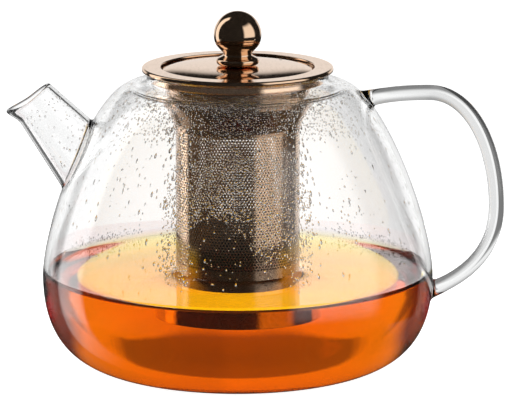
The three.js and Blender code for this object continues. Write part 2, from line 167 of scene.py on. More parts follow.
class TeaSizes(PropertyGroup):
    level: length("Level", "Height of the tea", 40.0)
    meniscus: length("Meniscus", "How far the tea climbs the glass", 2.8)
    climb: length("Basket climb", "How far the tea climbs the basket", 1.2)
    leaves: length("Leaf heap", "Height of the wet leaves in the basket", 60.0)
    tint: colour("Tint", "Light that the tea lets through", (0.989, 0.90, 0.0))
    density: amount("Strength", "Absorption of the tea, per metre", 150.0)


class DewSizes(PropertyGroup):
    spacing: length("Spacing", "Least distance from one fine drop to the next", 0.64)
    least: length("Least drop", "Smallest radius of the fine drops", 0.22)
    most: length("Largest drop", "Largest radius of the fine drops", 0.52)
    run_spacing: length("Run spacing", "Least distance from one run to the next", 1.9)
    run: length("Run", "Largest radius of the runs", 0.6)
    seed: IntProperty(name="Seed", description="Seed of the drops' places and sizes", default=7)


class StudioSizes(PropertyGroup):
    distance: length("Camera distance", "Camera in front of the pot's axis", 1680.0)
    height: length("Camera height", "Camera above the floor", 420.6)
    aim_x: length("Aim X", "Where the camera looks, across", 8.5)
    aim_z: length("Aim Z", "Where the camera looks, up", 70.0)
    lens: amount("Lens", "Focal length in millimetres on a sensor 36 mm wide", 285.07)
    brightness: amount("Brightness", "Light of the white surroundings", 1.2)


class Sheet:
    """The pot's wall as a surface of revolution: points are found by azimuth and by length along its outline."""

    def __init__(self, line):
        self.line = line
        self.run = [0.0]
        for a, b in zip(line, line[1:]):
            self.run.append(self.run[-1] + math.dist(a, b))

    def outline(self, s):
        low, high = 0, len(self.run) - 1
        while high - low > 1:
            middle = (low + high) // 2
            if self.run[middle] <= s:
                low = middle
            else:
                high = middle
        share_of = (s - self.run[low]) / (self.run[high] - self.run[low])
        (r0, z0), (r1, z1) = self.line[low], self.line[high]
        return r0 + (r1 - r0) * share_of, z0 + (z1 - z0) * share_of

    def place(self, azimuth, s):
        radius, height = self.outline(s)
        return Vector((radius * math.cos(azimuth), radius * math.sin(azimuth), height))

    def find(self, point):
        """Azimuth, length along the outline and signed distance of the nearest place."""
        radius = math.hypot(point.x, point.y)
        best = (1e9, 0.0, 0.0)
        for i, ((r0, z0), (r1, z1)) in enumerate(zip(self.line, self.line[1:])):
            run = self.run[i + 1] - self.run[i]
            along = (r1 - r0) / run, (z1 - z0) / run
            t = (radius - r0) * along[0] + (point.z - z0) * along[1]
            t = min(max(t, 0.0), run)
            gap = radius - r0 - along[0] * t, point.z - z0 - along[1] * t
            away = math.hypot(*gap)
            if away < best[0]:
                side = gap[0] * along[1] - gap[1] * along[0]
                best = (away, self.run[i] + t, math.copysign(away, side))
        return math.atan2(point.y, point.x), best[1], best[2]

    def outward(self, azimuth, s):
        (r0, z0), (r1, z1) = self.outline(max(s - 1e-4, 0)), self.outline(min(s + 1e-4, self.run[-1]))
        flat = Vector((z1 - z0, 0, r0 - r1)).normalized()
        return Vector((flat.x * math.cos(azimuth), flat.x * math.sin(azimuth), flat.z))


def cubic(a, b, c, d, steps, first=0):
    points = []
    for i in range(first, steps + 1):
        t = i / steps
        u = 1 - t
        points.append(
            tuple(u**3 * p + 3 * u * u * t * q + 3 * u * t * t * r + t**3 * s for p, q, r, s in zip(a, b, c, d))
        )
    return points


def quadratic(a, b, c, steps):
    return [a * (1 - t) ** 2 + b * 2 * t * (1 - t) + c * t * t for t in (i / steps for i in range(steps + 1))]


def pot_outline(pot, inset=0.0, fine=4):
    """Outline of the pot from the edge of its foot to the top of its neck."""
    belly = (pot.body_radius, pot.belly_height)
    shoulder = (pot.shoulder_radius, pot.shoulder_height)
    line = cubic(
        (pot.foot_radius, 0.0), (pot.foot_radius + pot.foot_run, 0.0),
        (pot.body_radius, pot.belly_height - pot.belly_drop), belly, 40 * fine,
    )
    line += cubic(
        belly, (pot.body_radius, pot.belly_height + pot.belly_rise),
        (pot.shoulder_radius + pot.shoulder_run, pot.shoulder_height), shoulder, 60 * fine, 1,
    )
    line += cubic(
        shoulder, ((pot.shoulder_radius + pot.neck_radius) / 2, pot.shoulder_height),
        (pot.neck_radius, pot.shoulder_height + pot.neck_fillet / 3),
        (pot.neck_radius, pot.shoulder_height + pot.neck_fillet), 12 * fine, 1,
    )
    line.append((pot.neck_radius, pot.shoulder_height + pot.neck_length - pot.wall / 2))
    moved = []
    for i, (radius, height) in enumerate(line):
        before, after = line[max(i - 1, 0)], line[min(i + 1, len(line) - 1)]
        run = math.dist(before, after)
        moved.append((radius - inset * (after[1] - before[1]) / run, height + inset * (after[0] - before[0]) / run))
    return moved


def spout_point(spout, pot, behind, turn, inset):
    """A point on the spout: how far behind the mouth, how far round from the top, and how deep in the wall."""
    forward = Vector((-math.cos(spout.rise), 0, math.sin(spout.rise)))
    upward = Vector((math.sin(spout.rise), 0, math.cos(spout.rise)))
    rim = pot.shoulder_height + pot.neck_length
    mouth = Vector((-pot.body_radius - spout.stand_off, 0, rim - spout.drop))
    radius = spout.mouth_radius + behind * math.tan(spout.taper) - inset
    near = min(max(1 - behind / spout.lip_depth, 0.0), 1.0)
    near = near * near * (3 - 2 * near)
    below = max(0.0, -math.cos(turn)) ** 2 * near
    across = Vector((0, radius * math.sin(turn), 0))
    return (
        mouth + forward * (spout.lip_forward * below - behind)
        + upward * (radius * math.cos(turn) - spout.lip_drop * below) + across
    )


def handle_line(handle, pot):
    """Centre line of the rod, from its upper root to its lower one."""
    root_z = pot.shoulder_height - handle.root_drop
    foot_z = pot.belly_height - handle.foot_drop
    top = (pot.shoulder_radius + handle.top_run, pot.shoulder_height - handle.top_drop)
    out = (pot.body_radius + handle.stand_off, pot.belly_height + handle.stand_rise)
    side = pot_outline(pot, fine=1)

    def inside(height):
        return next(p for p in side if p[1] > height)[0] - handle.sink

    root = (inside(root_z), root_z)
    foot = (inside(foot_z), foot_z)
    pull = (top[0] - root[0]) / 3
    knots = [
        (root, (root[0] + pull, root[1] + 0.8 * (top[1] - root[1])), (top[0] - pull, top[1]), top),
        (top, (top[0] + handle.shoulder_bend, top[1]), (out[0], out[1] + handle.upper_bend), out),
        (out, (out[0], out[1] - handle.lower_bend), (foot[0] + handle.foot_bend, foot[1] + handle.foot_rise), foot),
    ]
    return Sheet(cubic(*knots[0], 200) + cubic(*knots[1], 200, 1) + cubic(*knots[2], 200, 1))


def lay_sheet(mesh, sheet, columns, rows, holes, inward=False):
    """Quads over a surface of revolution. Round each hole's ring they give way to a patch of triangles."""
    step = math.tau / columns
    corners = {}

    def corner(i, j):
        key = i % columns, j
        if key not in corners:
            corners[key] = mesh.verts.new(sheet.place(key[0] * step, rows[j]))
        return corners[key]

    def face(spots):
        mesh.faces.new(spots[::-1] if inward else spots)

    patched = set()
    for ring in holes:
        middle = math.atan2(sum(v.co.y for v in ring), sum(v.co.x for v in ring))
        spots = []
        for vert in ring:
            azimuth, s, _ = sheet.find(vert.co)
            spots.append(((azimuth - middle + math.pi) % math.tau - math.pi + middle, s))
        radius = sum(math.hypot(v.co.x, v.co.y) for v in ring) / len(ring)
        first = math.floor(min(a for a, _ in spots) / step) - 2
        last = math.ceil(max(a for a, _ in spots) / step) + 2
        low = max(j for j, s in enumerate(rows) if s < min(t for _, t in spots)) - 1
        high = min(j for j, s in enumerate(rows) if s > max(t for _, t in spots)) + 1
        flat = [(a * radius, s) for a, s in spots]
        verts = list(ring)
        places = [Vector(p) for p in flat]
        edges = [(k, (k + 1) % len(ring)) for k in range(len(ring))]
        clearance = 0.45 * step * radius
        for i in range(first, last + 1):
            for j in range(low, high + 1):
                spot = (i * step * radius, rows[j])
                border = i in (first, last) or j in (low, high)
                if border or (not within(spot, flat) and min(math.dist(spot, p) for p in flat) > clearance):
                    verts.append(corner(i, j))
                    places.append(Vector(spot))
        _, _, faces, origins, _, _ = delaunay_2d_cdt(places, edges, [], 0, 1e-9, True)
        for triangle in faces:
            spots_of = [places[origins[k][0]] for k in triangle]
            centre = sum(spots_of, Vector((0, 0))) / 3
            if not within(centre, flat):
                face([verts[origins[k][0]] for k in triangle])
        patched.update((i % columns, j) for i in range(first, last) for j in range(low, high))
    for j in range(len(rows) - 1):
        for i in range(columns):
            if (i, j) not in patched:
                face([corner(i, j), corner(i + 1, j), corner(i + 1, j + 1), corner(i, j + 1)])
    return [corner(i, 0) for i in range(columns)], [corner(i, len(rows) - 1) for i in range(columns)]


def within(spot, ring):
    inside = False
    for (x0, y0), (x1, y1) in zip(ring, ring[1:] + ring[:1]):
        if (y0 > spot[1]) != (y1 > spot[1]) and spot[0] < x0 + (spot[1] - y0) / (y1 - y0) * (x1 - x0):
            inside = not inside
    return inside


def circle(radius, height, sides, centre=(0, 0)):
    """Points round a level circle."""
    turns = (math.tau * i / sides for i in range(sides))
    return [Vector((centre[0] + radius * math.cos(t), centre[1] + radius * math.sin(t), height)) for t in turns]


def bridge(mesh, rings, inward=False):
    """Quads between closed rings of vertices with the same number of corners."""
    for low, high in zip(rings, rings[1:]):
        for i in range(len(low)):
            k = (i + 1) % len(low)
            mesh.faces.new([low[i], high[i], high[k], low[k]] if inward else [low[i], low[k], high[k], high[i]])


def fan(mesh, ring, point):
    tip = mesh.verts.new(point)
    for i, vert in enumerate(ring):
        mesh.faces.new([vert, ring[(i + 1) % len(ring)], tip])


def turning_point(test, longest=0.05, rounds=40):
    """Length at which a test along a tube turns from true to false, found by halving."""
    low, high = 0.0, longest
    for _ in range(rounds):
        middle = (low + high) / 2
        if test(middle):
            low = middle
        else:
            high = middle
    return high


def joint_rings(sheet, tube, centre, sides, fillet, steps=6):
    """Rings from the wall up onto a tube that leaves it, rounded as glass is where it is fused."""
    rings = [[] for _ in range(steps + 1)]
    starts = []
    for j in range(sides):
        leaves = turning_point(lambda t: sheet.find(tube(t, j))[2] < 0)
        on = tube(leaves, j)
        azimuth, s, _ = sheet.find(on)
        normal = sheet.outward(azimuth, s)
        away = on - centre(leaves)
        away = (away - normal * away.dot(normal)).normalized()
        azimuth, s, _ = sheet.find(on + away * fillet)
        starts.append(leaves + fillet)
        for ring, point in zip(rings, quadratic(sheet.place(azimuth, s), on, tube(leaves + fillet, j), steps)):
            ring.append(point)
    return rings, starts


def make_verts(mesh, rings):
    return [[mesh.verts.new(point) for point in ring] for ring in rings]


def to_data(mesh, name):
    data = bpy.data.meshes.new(name)
    mesh.to_mesh(data)
    mesh.free()
    return data


def show(name, data):
    thing = bpy.data.objects.new(name, data)
    bpy.context.scene.collection.objects.link(thing)
    return thing


def settle(mesh, data, name, sharp):
    """Write a closed bmesh into mesh data, smooth and with its faces outward."""
    bmesh.ops.recalc_face_normals(mesh, faces=mesh.faces)
    open_edges = sum(1 for e in mesh.edges if len(e.link_faces) != 2)
    mesh.to_mesh(data)
    mesh.free()
    if open_edges:
        raise RuntimeError(f"{name}: {open_edges} edges are open")
    data.shade_smooth()
    if sharp:
        data.set_sharp_from_angle(angle=math.radians(sharp))


def finish_mesh(mesh, name, sharp):
    """Turn a bmesh into a closed object. Edges over so many degrees stay sharp."""
    bmesh.ops.remove_doubles(mesh, verts=mesh.verts, dist=1e-7)
    loose = [v for v in mesh.verts if not v.link_faces]
    bmesh.ops.delete(mesh, geom=loose, context="VERTS")
    data = bpy.data.meshes.new(name)
    settle(mesh, data, name, sharp)
    return show(name, data)


def apply_modifier(thing, modifier):
    """Keep what an object's only modifier makes as its plain mesh."""
    bpy.context.view_layer.update()
    depsgraph = bpy.context.evaluated_depsgraph_get()
    data = bpy.data.meshes.new_from_object(thing.evaluated_get(depsgraph), depsgraph=depsgraph)
    thing.modifiers.remove(modifier)
    thing.data = data


def mend_normals(thing, sharp):
    mesh = bmesh.new()
    mesh.from_mesh(thing.data)
    settle(mesh, thing.data, thing.name, sharp)


def soften(section, steps=5, run_in=1.25):
    """Round the corners of a closed section. A corner is (radius, height) or (radius, height, rounding) in mm."""
    line = []
    count = len(section)
    for i, spot in enumerate(section):
        here = Vector(spot[:2])
        rounding = spot[2] if len(spot) > 2 else 0
        if not rounding:
            line.append(here)
            continue
        back = (Vector(section[i - 1][:2]) - here).normalized()
        on = (Vector(section[(i + 1) % count][:2]) - here).normalized()
        line.append(here + back * rounding * run_in)
        line += quadratic(here + back * rounding, here, here + on * rounding, steps)
        line.append(here + on * rounding * run_in)
    return [(p[0] * MM, p[1] * MM) for p in line]


def lathe(name, section, sides, sharp=35):
    """Turn a closed section about the pot's axis. Corners on the axis become poles."""
    mesh = bmesh.new()
    rings = make_verts(mesh, (
        [(0, 0, height)] if radius < 1e-6 else circle(radius, height, sides) for radius, height in section
    ))
    for low, high in zip(rings, rings[1:] + rings[:1]):
        if len(low) == 1 and len(high) == 1:
            continue
        for i in range(sides):
            k = (i + 1) % sides
            spots = [low[i % len(low)], low[k % len(low)], high[k % len(high)], high[i % len(high)]]
            mesh.faces.new(list(dict.fromkeys(spots)))
    return finish_mesh(mesh, name, sharp)


def dress(thing, material, body, slot, *nodes):
    thing.data.materials.clear()
    thing.data.materials.append(material)
    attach(thing, body)
    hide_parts(*nodes)


def turn_piece(name, section, sides, material, body, slot, node):
    dress(lathe(name, soften(section), sides), material, body, slot, node)


def ring_section(inner, outer, low, high, *roundings):
    corners = ((inner, low), (outer, low), (outer, high), (inner, high))
    return [(*corner, rounding) for corner, rounding in zip(corners, roundings)]


def box_mm(node):
    """Lowest and highest corner of a CAD node, in mm."""
    return [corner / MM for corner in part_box(node)]


class Value:
    """A node's output that can stand in sums: each step adds a node to its tree."""

    def __init__(self, tree, socket):
        self.tree = tree
        self.socket = socket

    def math(self, operation, *others):
        return math_node(self.tree, operation, self, *others)

    def __rsub__(self, other):
        return math_node(self.tree, "SUBTRACT", other, self)

    def ranged(self, low, high, to_low, to_high, kind="LINEAR"):
        limits = {0: self, 1: low, 2: high, 3: to_low, 4: to_high}
        return Value(self.tree, add(self.tree, "ShaderNodeMapRange", limits, interpolation_type=kind).outputs[0])

    def eased(self, low, high, to_low, to_high):
        return self.ranged(low, high, to_low, to_high, "SMOOTHSTEP")

    def window(self, low, high, soft):
        """One between two limits and zero outside, with soft edges."""
        return self.eased(low - soft, low + soft, 0, 1) * self.eased(high - soft, high + soft, 1, 0)


OPERATORS = {
    "add": "ADD", "radd": "ADD", "sub": "SUBTRACT", "mul": "MULTIPLY", "rmul": "MULTIPLY", "truediv": "DIVIDE",
    "pow": "POWER", "abs": "ABSOLUTE", "gt": "GREATER_THAN", "lt": "LESS_THAN",
}
for sign, step in OPERATORS.items():
    setattr(Value, f"__{sign}__", lambda self, *others, step=step: self.math(step, *others))


def feed(tree, entry, value):
    """Give an input a value or a colour, or link it to a node or to a node's output."""
    if isinstance(value, bpy.types.Node):
        value = value.outputs[0]
    if isinstance(value, Value):
        value = value.socket
    if isinstance(value, bpy.types.NodeSocket):
        tree.links.new(value, entry)
    elif entry.type == "RGBA" and len(value) == 3:
        entry.default_value = (*value, 1)
    else:
        entry.default_value = value


def add(tree, kind, sockets=None, **settings):
    node = tree.nodes.new(kind)
    for name, value in settings.items():
        setattr(node, name, value)
    for key, value in (sockets or {}).items():
        feed(tree, node.inputs[key], value)
    return node


def outputs(tree, kind, sockets=None):
    """Add a node and give its outputs by name."""
    return {socket.name: Value(tree, socket) for socket in add(tree, kind, sockets).outputs}


def math_node(tree, operation, *values):
    return Value(tree, add(tree, "ShaderNodeMath", dict(enumerate(values)), operation=operation).outputs[0])


def grey(tree, value):
    return add(tree, "ShaderNodeCombineColor", {0: value, 1: value, 2: value})


def blank(name):
    """An empty material and its tree."""
    material = bpy.data.materials.new(name)
    material.use_nodes = True
    material.node_tree.nodes.clear()
    return material, material.node_tree


def surface(tree, sockets, bump=None, absorb=None):
    """End a tree in a Principled shader. The bump is (height, strength, depth in metres)."""
    if bump:
        relief = dict(zip(("Height", "Strength", "Distance"), bump))
        sockets = {**sockets, "Normal": add(tree, "ShaderNodeBump", relief)}
    shader = add(tree, "ShaderNodeBsdfPrincipled", sockets)
    output = add(tree, "ShaderNodeOutputMaterial", {"Surface": shader})
    if absorb:
        volume = add(tree, "ShaderNodeVolumeAbsorption", dict(zip(("Color", "Density"), absorb)))
        feed(tree, output.inputs["Volume"], volume)
    return shader


def grown_noise(tree, scale, detail=2.0, stretch=(1, 1, 1)):
    """Noise on the object's own coordinates. Its scale is in patches a metre."""
    place = add(tree, "ShaderNodeTexCoord").outputs["Object"]
    spread = add(tree, "ShaderNodeMapping", {"Vector": place, "Scale": stretch})
    looks = {"Vector": spread, "Scale": scale, "Detail": detail}
    return Value(tree, add(tree, "ShaderNodeTexNoise", looks).outputs[0])


def blend(tree, factor, a, b):
    """Mix two colours."""
    return add(tree, "ShaderNodeMix", {0: factor, 6: a, 7: b}, data_type="RGBA").outputs[2]


def clear_material(name, ior, patches, rough, bump, absorb=None, keep_red=False):
    """A clear liquid. Rough is (patches a metre, most roughness), and bump is (patches a metre, depth)."""
    material, tree = blank(name)
    cloud = grown_noise(tree, patches).ranged(0.3, 0.7, 0.97, 1.0)
    scale, most_rough = rough
    bump_scale, depth = bump
    looks = {
        "Base Color": add(tree, "ShaderNodeCombineColor", {0: 1.0 if keep_red else cloud, 1: cloud, 2: cloud}),
        "Roughness": grown_noise(tree, scale).ranged(0.4, 0.8, 0.0, most_rough), "IOR": ior,
        "Transmission Weight": 1,
    }
    surface(tree, looks, (grown_noise(tree, bump_scale), 0.1, depth), absorb)
    return material


def tea_material(tea):
    absorb = (tea.tint, tea.density)
    return clear_material("black_tea", WATER_IOR, 40, (90, 0.01), (60, 0.0003), absorb, True)


def glass_material(pot):
    """Clear glass, greyer where it is seen edge on as painted shade for the dark surroundings its edges bend into
    view, with faint wiping marks and pulled waves.
    """
    material, tree = blank("clear_glass")
    facing = outputs(tree, "ShaderNodeLayerWeight", {"Blend": 0.35})["Facing"]
    # Painted shade: the base colour turns grey towards grazing view.
    edge = facing.ranged(0.55, 0.985, 0, 1) ** 1.7
    cloud = grown_noise(tree, 35).ranged(0.3, 0.7, 0.985, 1.0)
    wipe = grown_noise(tree, 60, 4, (1, 1, 0.3)).ranged(0.45, 0.75, 0.0, 0.012)
    waves = grown_noise(tree, 330, 2, (1, 1, 0.12)) * 0.03 + grown_noise(tree, 22, 1, (1, 1, 0.6))
    looks = {
        "Base Color": blend(tree, edge, grey(tree, cloud), pot.tint), "Roughness": wipe, "IOR": GLASS_IOR,
        "Transmission Weight": 1,
    }
    surface(tree, looks, (waves, 0.18, 0.0006), (SOLID_GLASS, pot.density))
    return material


def plated_material(looks):
    """Polished rose-gold plating: fine wiping marks in its gloss, and a slight drift of colour."""
    material, tree = blank("polished_rose_gold")
    base = tuple(looks.rose_gold)
    paler = tuple(min(1.0, c * 1.05 + 0.02) for c in base)
    colour = blend(tree, grown_noise(tree, 45, 3).ranged(0.3, 0.7, 0, 1), base, paler)
    marks = grown_noise(tree, 900, 3, (1, 0.15, 1))
    cloud = grown_noise(tree, 30, 2).ranged(0.4, 0.7, 0, 0.02)
    rough = marks.ranged(0.35, 0.75, 0.6, 1.8) * looks.roughness + cloud
    surface(tree, {"Base Color": colour, "Roughness": rough, "Metallic": 1}, (marks, 0.03, 0.00005))
    return material


def patchy_material(name, patches, colours, rough, bump, **looks):
    """Colour and gloss drift between two values by one noise. The bump is (its noise, strength, depth)."""
    material, tree = blank(name)
    drift = grown_noise(tree, *patches)
    bump_patches, strength, depth = bump
    looks = {key.replace("_", " "): value for key, value in looks.items()}
    looks["Base Color"] = blend(tree, drift.ranged(0.3, 0.7, 0, 1), *colours)
    looks["Roughness"] = drift.ranged(0.3, 0.7, *rough)
    surface(tree, looks, (grown_noise(tree, *bump_patches), strength, depth))
    return material


def brushed_material(name, rgb, rough, stretch=(1, 1, 1)):
    """Satin or etched steel with fine marks."""
    marks = (900, 3, stretch)
    colours = (tuple(c * 0.82 for c in rgb), rgb)
    return patchy_material(name, marks, colours, (rough * 0.75, rough * 1.3), (marks, 0.08, 0.00004), Metallic=1)


def silicone_material():
    return patchy_material(
        "milky_silicone", (120,), ((0.82, 0.82, 0.80), (0.90, 0.90, 0.88)), (0.35, 0.5), ((1500,), 0.1, 0.00005),
        Subsurface_Weight=0.2, Subsurface_Scale=0.002,
    )


def run_tree(name, tree, values, base=None):
    """Run a Geometry Nodes tree and keep what it makes as a plain mesh object."""
    host = show(name, base or bpy.data.meshes.new(name))
    modifier = host.modifiers.new("tree", "NODES")
    modifier.node_group = tree
    for item in tree.interface.items_tree:
        if item.item_type == "SOCKET" and item.in_out == "INPUT" and item.name in values:
            modifier[item.identifier] = values[item.name]
    apply_modifier(host, modifier)
    host.data.name = name
    if not host.data.polygons:
        raise RuntimeError(f"{name}: its tree made nothing")
    return host


def new_tree(name, inputs):
    """An empty Geometry Nodes tree with named inputs. Gives the tree and its inputs."""
    tree = bpy.data.node_groups.new(name, "GeometryNodeTree")
    tree.interface.new_socket("Geometry", in_out="OUTPUT", socket_type="NodeSocketGeometry")
    for kind, labels in inputs.items():
        for label in labels:
            tree.interface.new_socket(label, in_out="INPUT", socket_type=f"NodeSocket{kind}")
    return tree, outputs(tree, "NodeGroupInput")


def close_tree(tree, geometry, material):
    """End a tree in plain geometry with its material."""
    solid = add(tree, "GeometryNodeRealizeInstances", {"Geometry": geometry})
    dressed = add(tree, "GeometryNodeSetMaterial", {"Geometry": solid, "Material": material})
    add(tree, "NodeGroupOutput", {0: dressed})


def etched_sheet_tree():
    """A tube of thin sheet with a hexagonal field of holes."""
    tree, given = new_tree("etched_sheet", {
        "Int": ("Columns", "Rows"), "Float": ("Bore", "Foot", "Sheet", "Hole"), "Material": ("Material",),
    })
    bore = given["Bore"]
    pitch = bore * math.tau / given["Columns"]
    rise = pitch * (math.sqrt(3) / 2)
    width = pitch * (given["Columns"] - 1.0)
    height = rise * (given["Rows"] - 1.0)
    hexagon = add(
        tree, "GeometryNodeMeshCircle", {"Vertices": 6, "Radius": pitch / math.sqrt(3)}, fill_type="NGON"
    )
    turned = add(tree, "GeometryNodeTransform", {"Geometry": hexagon, "Rotation": (0, 0, math.radians(30))})
    rim = add(tree, "GeometryNodeExtrudeMesh", {"Mesh": turned, "Offset Scale": 0.0, "Individual": True})
    lid = rim.outputs["Top"]
    drawn = add(
        tree, "GeometryNodeScaleElements", {"Geometry": rim, "Selection": lid, "Scale": given["Hole"] / pitch},
        domain="FACE",
    )
    cell = add(tree, "GeometryNodeDeleteGeometry", {"Geometry": drawn, "Selection": lid}, domain="FACE")
    grid = add(tree, "GeometryNodeMeshGrid", {
        "Size X": width, "Size Y": height, "Vertices X": given["Columns"], "Vertices Y": given["Rows"],
    })
    position = add(tree, "GeometryNodeInputPosition")
    place = outputs(tree, "ShaderNodeSeparateXYZ", {0: position})
    up = place["Y"] + height * 0.5
    shift = (up / rise).math("ROUND").math("FLOORED_MODULO", 2.0) * (pitch * 0.5)
    offset = add(tree, "ShaderNodeCombineXYZ", {"X": shift})
    points = add(tree, "GeometryNodeSetPosition", {"Geometry": grid, "Offset": offset})
    cells = add(tree, "GeometryNodeInstanceOnPoints", {"Points": points, "Instance": cell})
    flat = add(tree, "GeometryNodeRealizeInstances", {"Geometry": cells})
    angle = place["X"] / bore
    round_bore = {"X": bore * angle.math("COSINE"), "Y": bore * angle.math("SINE"), "Z": up + given["Foot"]}
    wrapped_place = add(tree, "ShaderNodeCombineXYZ", round_bore)
    wrapped = add(tree, "GeometryNodeSetPosition", {"Geometry": flat, "Position": wrapped_place})
    tube = add(tree, "GeometryNodeMergeByDistance", {"Geometry": wrapped, "Distance": 0.00002})
    wall = add(tree, "GeometryNodeExtrudeMesh", {"Mesh": tube, "Offset Scale": 0.0, "Individual": False})
    grown = (bore + given["Sheet"]) / bore
    spread = add(tree, "ShaderNodeCombineXYZ", {"X": grown, "Y": grown, "Z": 1.0})
    outer_place = add(tree, "ShaderNodeVectorMath", {0: position, 1: spread}, operation="MULTIPLY")
    outer = add(
        tree, "GeometryNodeSetPosition",
        {"Geometry": wall, "Selection": wall.outputs["Top"], "Position": outer_place},
    )
    inner = add(tree, "GeometryNodeFlipFaces", {"Mesh": tube})
    both = tree.nodes.new("GeometryNodeJoinGeometry")
    for part in (outer, inner):
        tree.links.new(part.outputs[0], both.inputs[0])
    closed = add(tree, "GeometryNodeMergeByDistance", {"Geometry": both, "Distance": 0.00001})
    close_tree(tree, closed, given["Material"])
    return tree


class MakeGlassPot(Operator):
    """Blow the pot: body, spout and handle as one fused piece of clear glass"""

    bl_idname = "teapot.glass_pot"
    bl_label = "Glass pot"

    def execute(self, context):
        scene = context.scene
        pot, spout = scene.teapot_pot, scene.teapot_spout
        mesh = bmesh.new()
        outer = Sheet(pot_outline(pot, fine=1))
        inner = Sheet(pot_outline(pot, pot.wall, fine=1))
        columns = 240
        cone_steps, bend_steps = 30, 8
        rod = bend_rod(mesh, outer, pot, scene.teapot_handle)

        sides = 72

        def ring_at(behind, inset):
            return [spout_point(spout, pot, behind, math.tau * j / sides, inset) for j in range(sides)]

        half_wall = spout.wall / 2
        walls = []
        for sheet, inset, fillet in ((outer, 0.0, spout.fillet), (inner, spout.wall, spout.bore_fillet)):

            def tube(t, j):
                return spout_point(spout, pot, spout.root - t, math.tau * j / sides, inset)

            def centre(t):
                return (tube(t, 0) + tube(t, sides // 2)) / 2

            rings, starts = joint_rings(sheet, tube, centre, sides, fillet)
            end = spout.root - half_wall
            for k in range(1, cone_steps + 1):
                u = (k / cone_steps) ** 0.8
                rings.append([tube(starts[j] + (end - starts[j]) * u, j) for j in range(sides)])
            walls.append(make_verts(mesh, rings))
            bridge(mesh, walls[-1])
        bends = [math.pi * k / bend_steps for k in range(1, bend_steps)]
        lip = [ring_at(half_wall * (1 - math.sin(bend)), half_wall * (1 - math.cos(bend))) for bend in bends]
        bridge(mesh, [walls[0][-1], *make_verts(mesh, lip), walls[1][-1]])

        out_foot, out_rim = lay_sheet(mesh, outer, columns, outer.run, [rod[0], rod[-1], walls[0][0]])
        in_foot, in_rim = lay_sheet(mesh, inner, columns, inner.run, [walls[1][0]], True)
        half_wall = pot.wall / 2
        middle = pot.neck_radius - half_wall
        under_rim = pot.shoulder_height + pot.neck_length - half_wall
        rim = [
            circle(middle + half_wall * math.cos(bend), under_rim + half_wall * math.sin(bend), columns)
            for bend in bends
        ]
        bridge(mesh, [out_rim, *make_verts(mesh, rim), in_rim])
        for ring, base in ((out_foot, 0.0), (in_foot, pot.wall)):
            verts = make_verts(mesh, (
                circle(pot.foot_radius * part, base + punt(pot, part), columns) for part in FOOT_SHARES
            ))
            bridge(mesh, [ring, *verts])
            fan(mesh, verts[-1], (0, 0, base + pot.push_up))
        glass = finish_mesh(mesh, "blown_glass_pot", 0)
        nodes = ("glass_body", "glass_shoulder", "glass_spout", "glass_handle")
        dress(glass, glass_material(pot), "pot", "glass", *nodes)
        return {"FINISHED"}


def bend_rod(mesh, outer, pot, handle):
    """Bend the handle's rod, from the fused ring at its upper root to the one at its foot."""
    line = handle_line(handle, pot)
    run = line.run[-1]
    sides = 48
    back = 0.03
    steps = 110
    swollen, eased = 3 / 32, 0.2
    near_by = 0.0005

    def rod_centre(t):
        x, z = line.outline(t)
        return Vector((x, 0, z))

    def rod(t, j):
        along = (rod_centre(t + near_by) - rod_centre(t - near_by)).normalized()
        outward = Vector((along.z, 0, -along.x))
        from_end = min(max(t, 0), max(run - t, 0)) / (run * swollen)
        size = 1 + handle.swell * max(0.0, 1 - from_end) ** 2
        turn = math.tau * j / sides
        return (
            rod_centre(t) + outward * (handle.thickness / 2 * size * math.cos(turn))
            + Vector((0, handle.width / 2 * size * math.sin(turn), 0))
        )

    ends = []
    for place in (lambda t: t - back, lambda t: run + back - t):
        rings, starts = joint_rings(
            outer, lambda t, j: rod(place(t), j), lambda t: rod_centre(place(t)), sides, handle.fillet
        )
        starts = [place(t) for t in starts]
        ends.append((rings, starts, sum(starts) / sides))
    (root, root_starts, first), (foot, foot_starts, last) = ends
    middle = []
    for k in range(1, steps):
        u = k / steps
        level = first + (last - first) * u
        near, far = max(0.0, 1 - u / eased) ** 3, max(0.0, 1 - (1 - u) / eased) ** 3
        middle.append([
            rod(level + (root_starts[j] - first) * near + (foot_starts[j] - last) * far, j) for j in range(sides)
        ])
    verts = make_verts(mesh, root + middle + foot[::-1])
    bridge(mesh, verts)
    return verts


def punt(pot, part):
    """Rise of the underside at a share of the foot's radius."""
    level_from = 0.95
    return pot.push_up * (1 - smooth(part, 0, level_from))


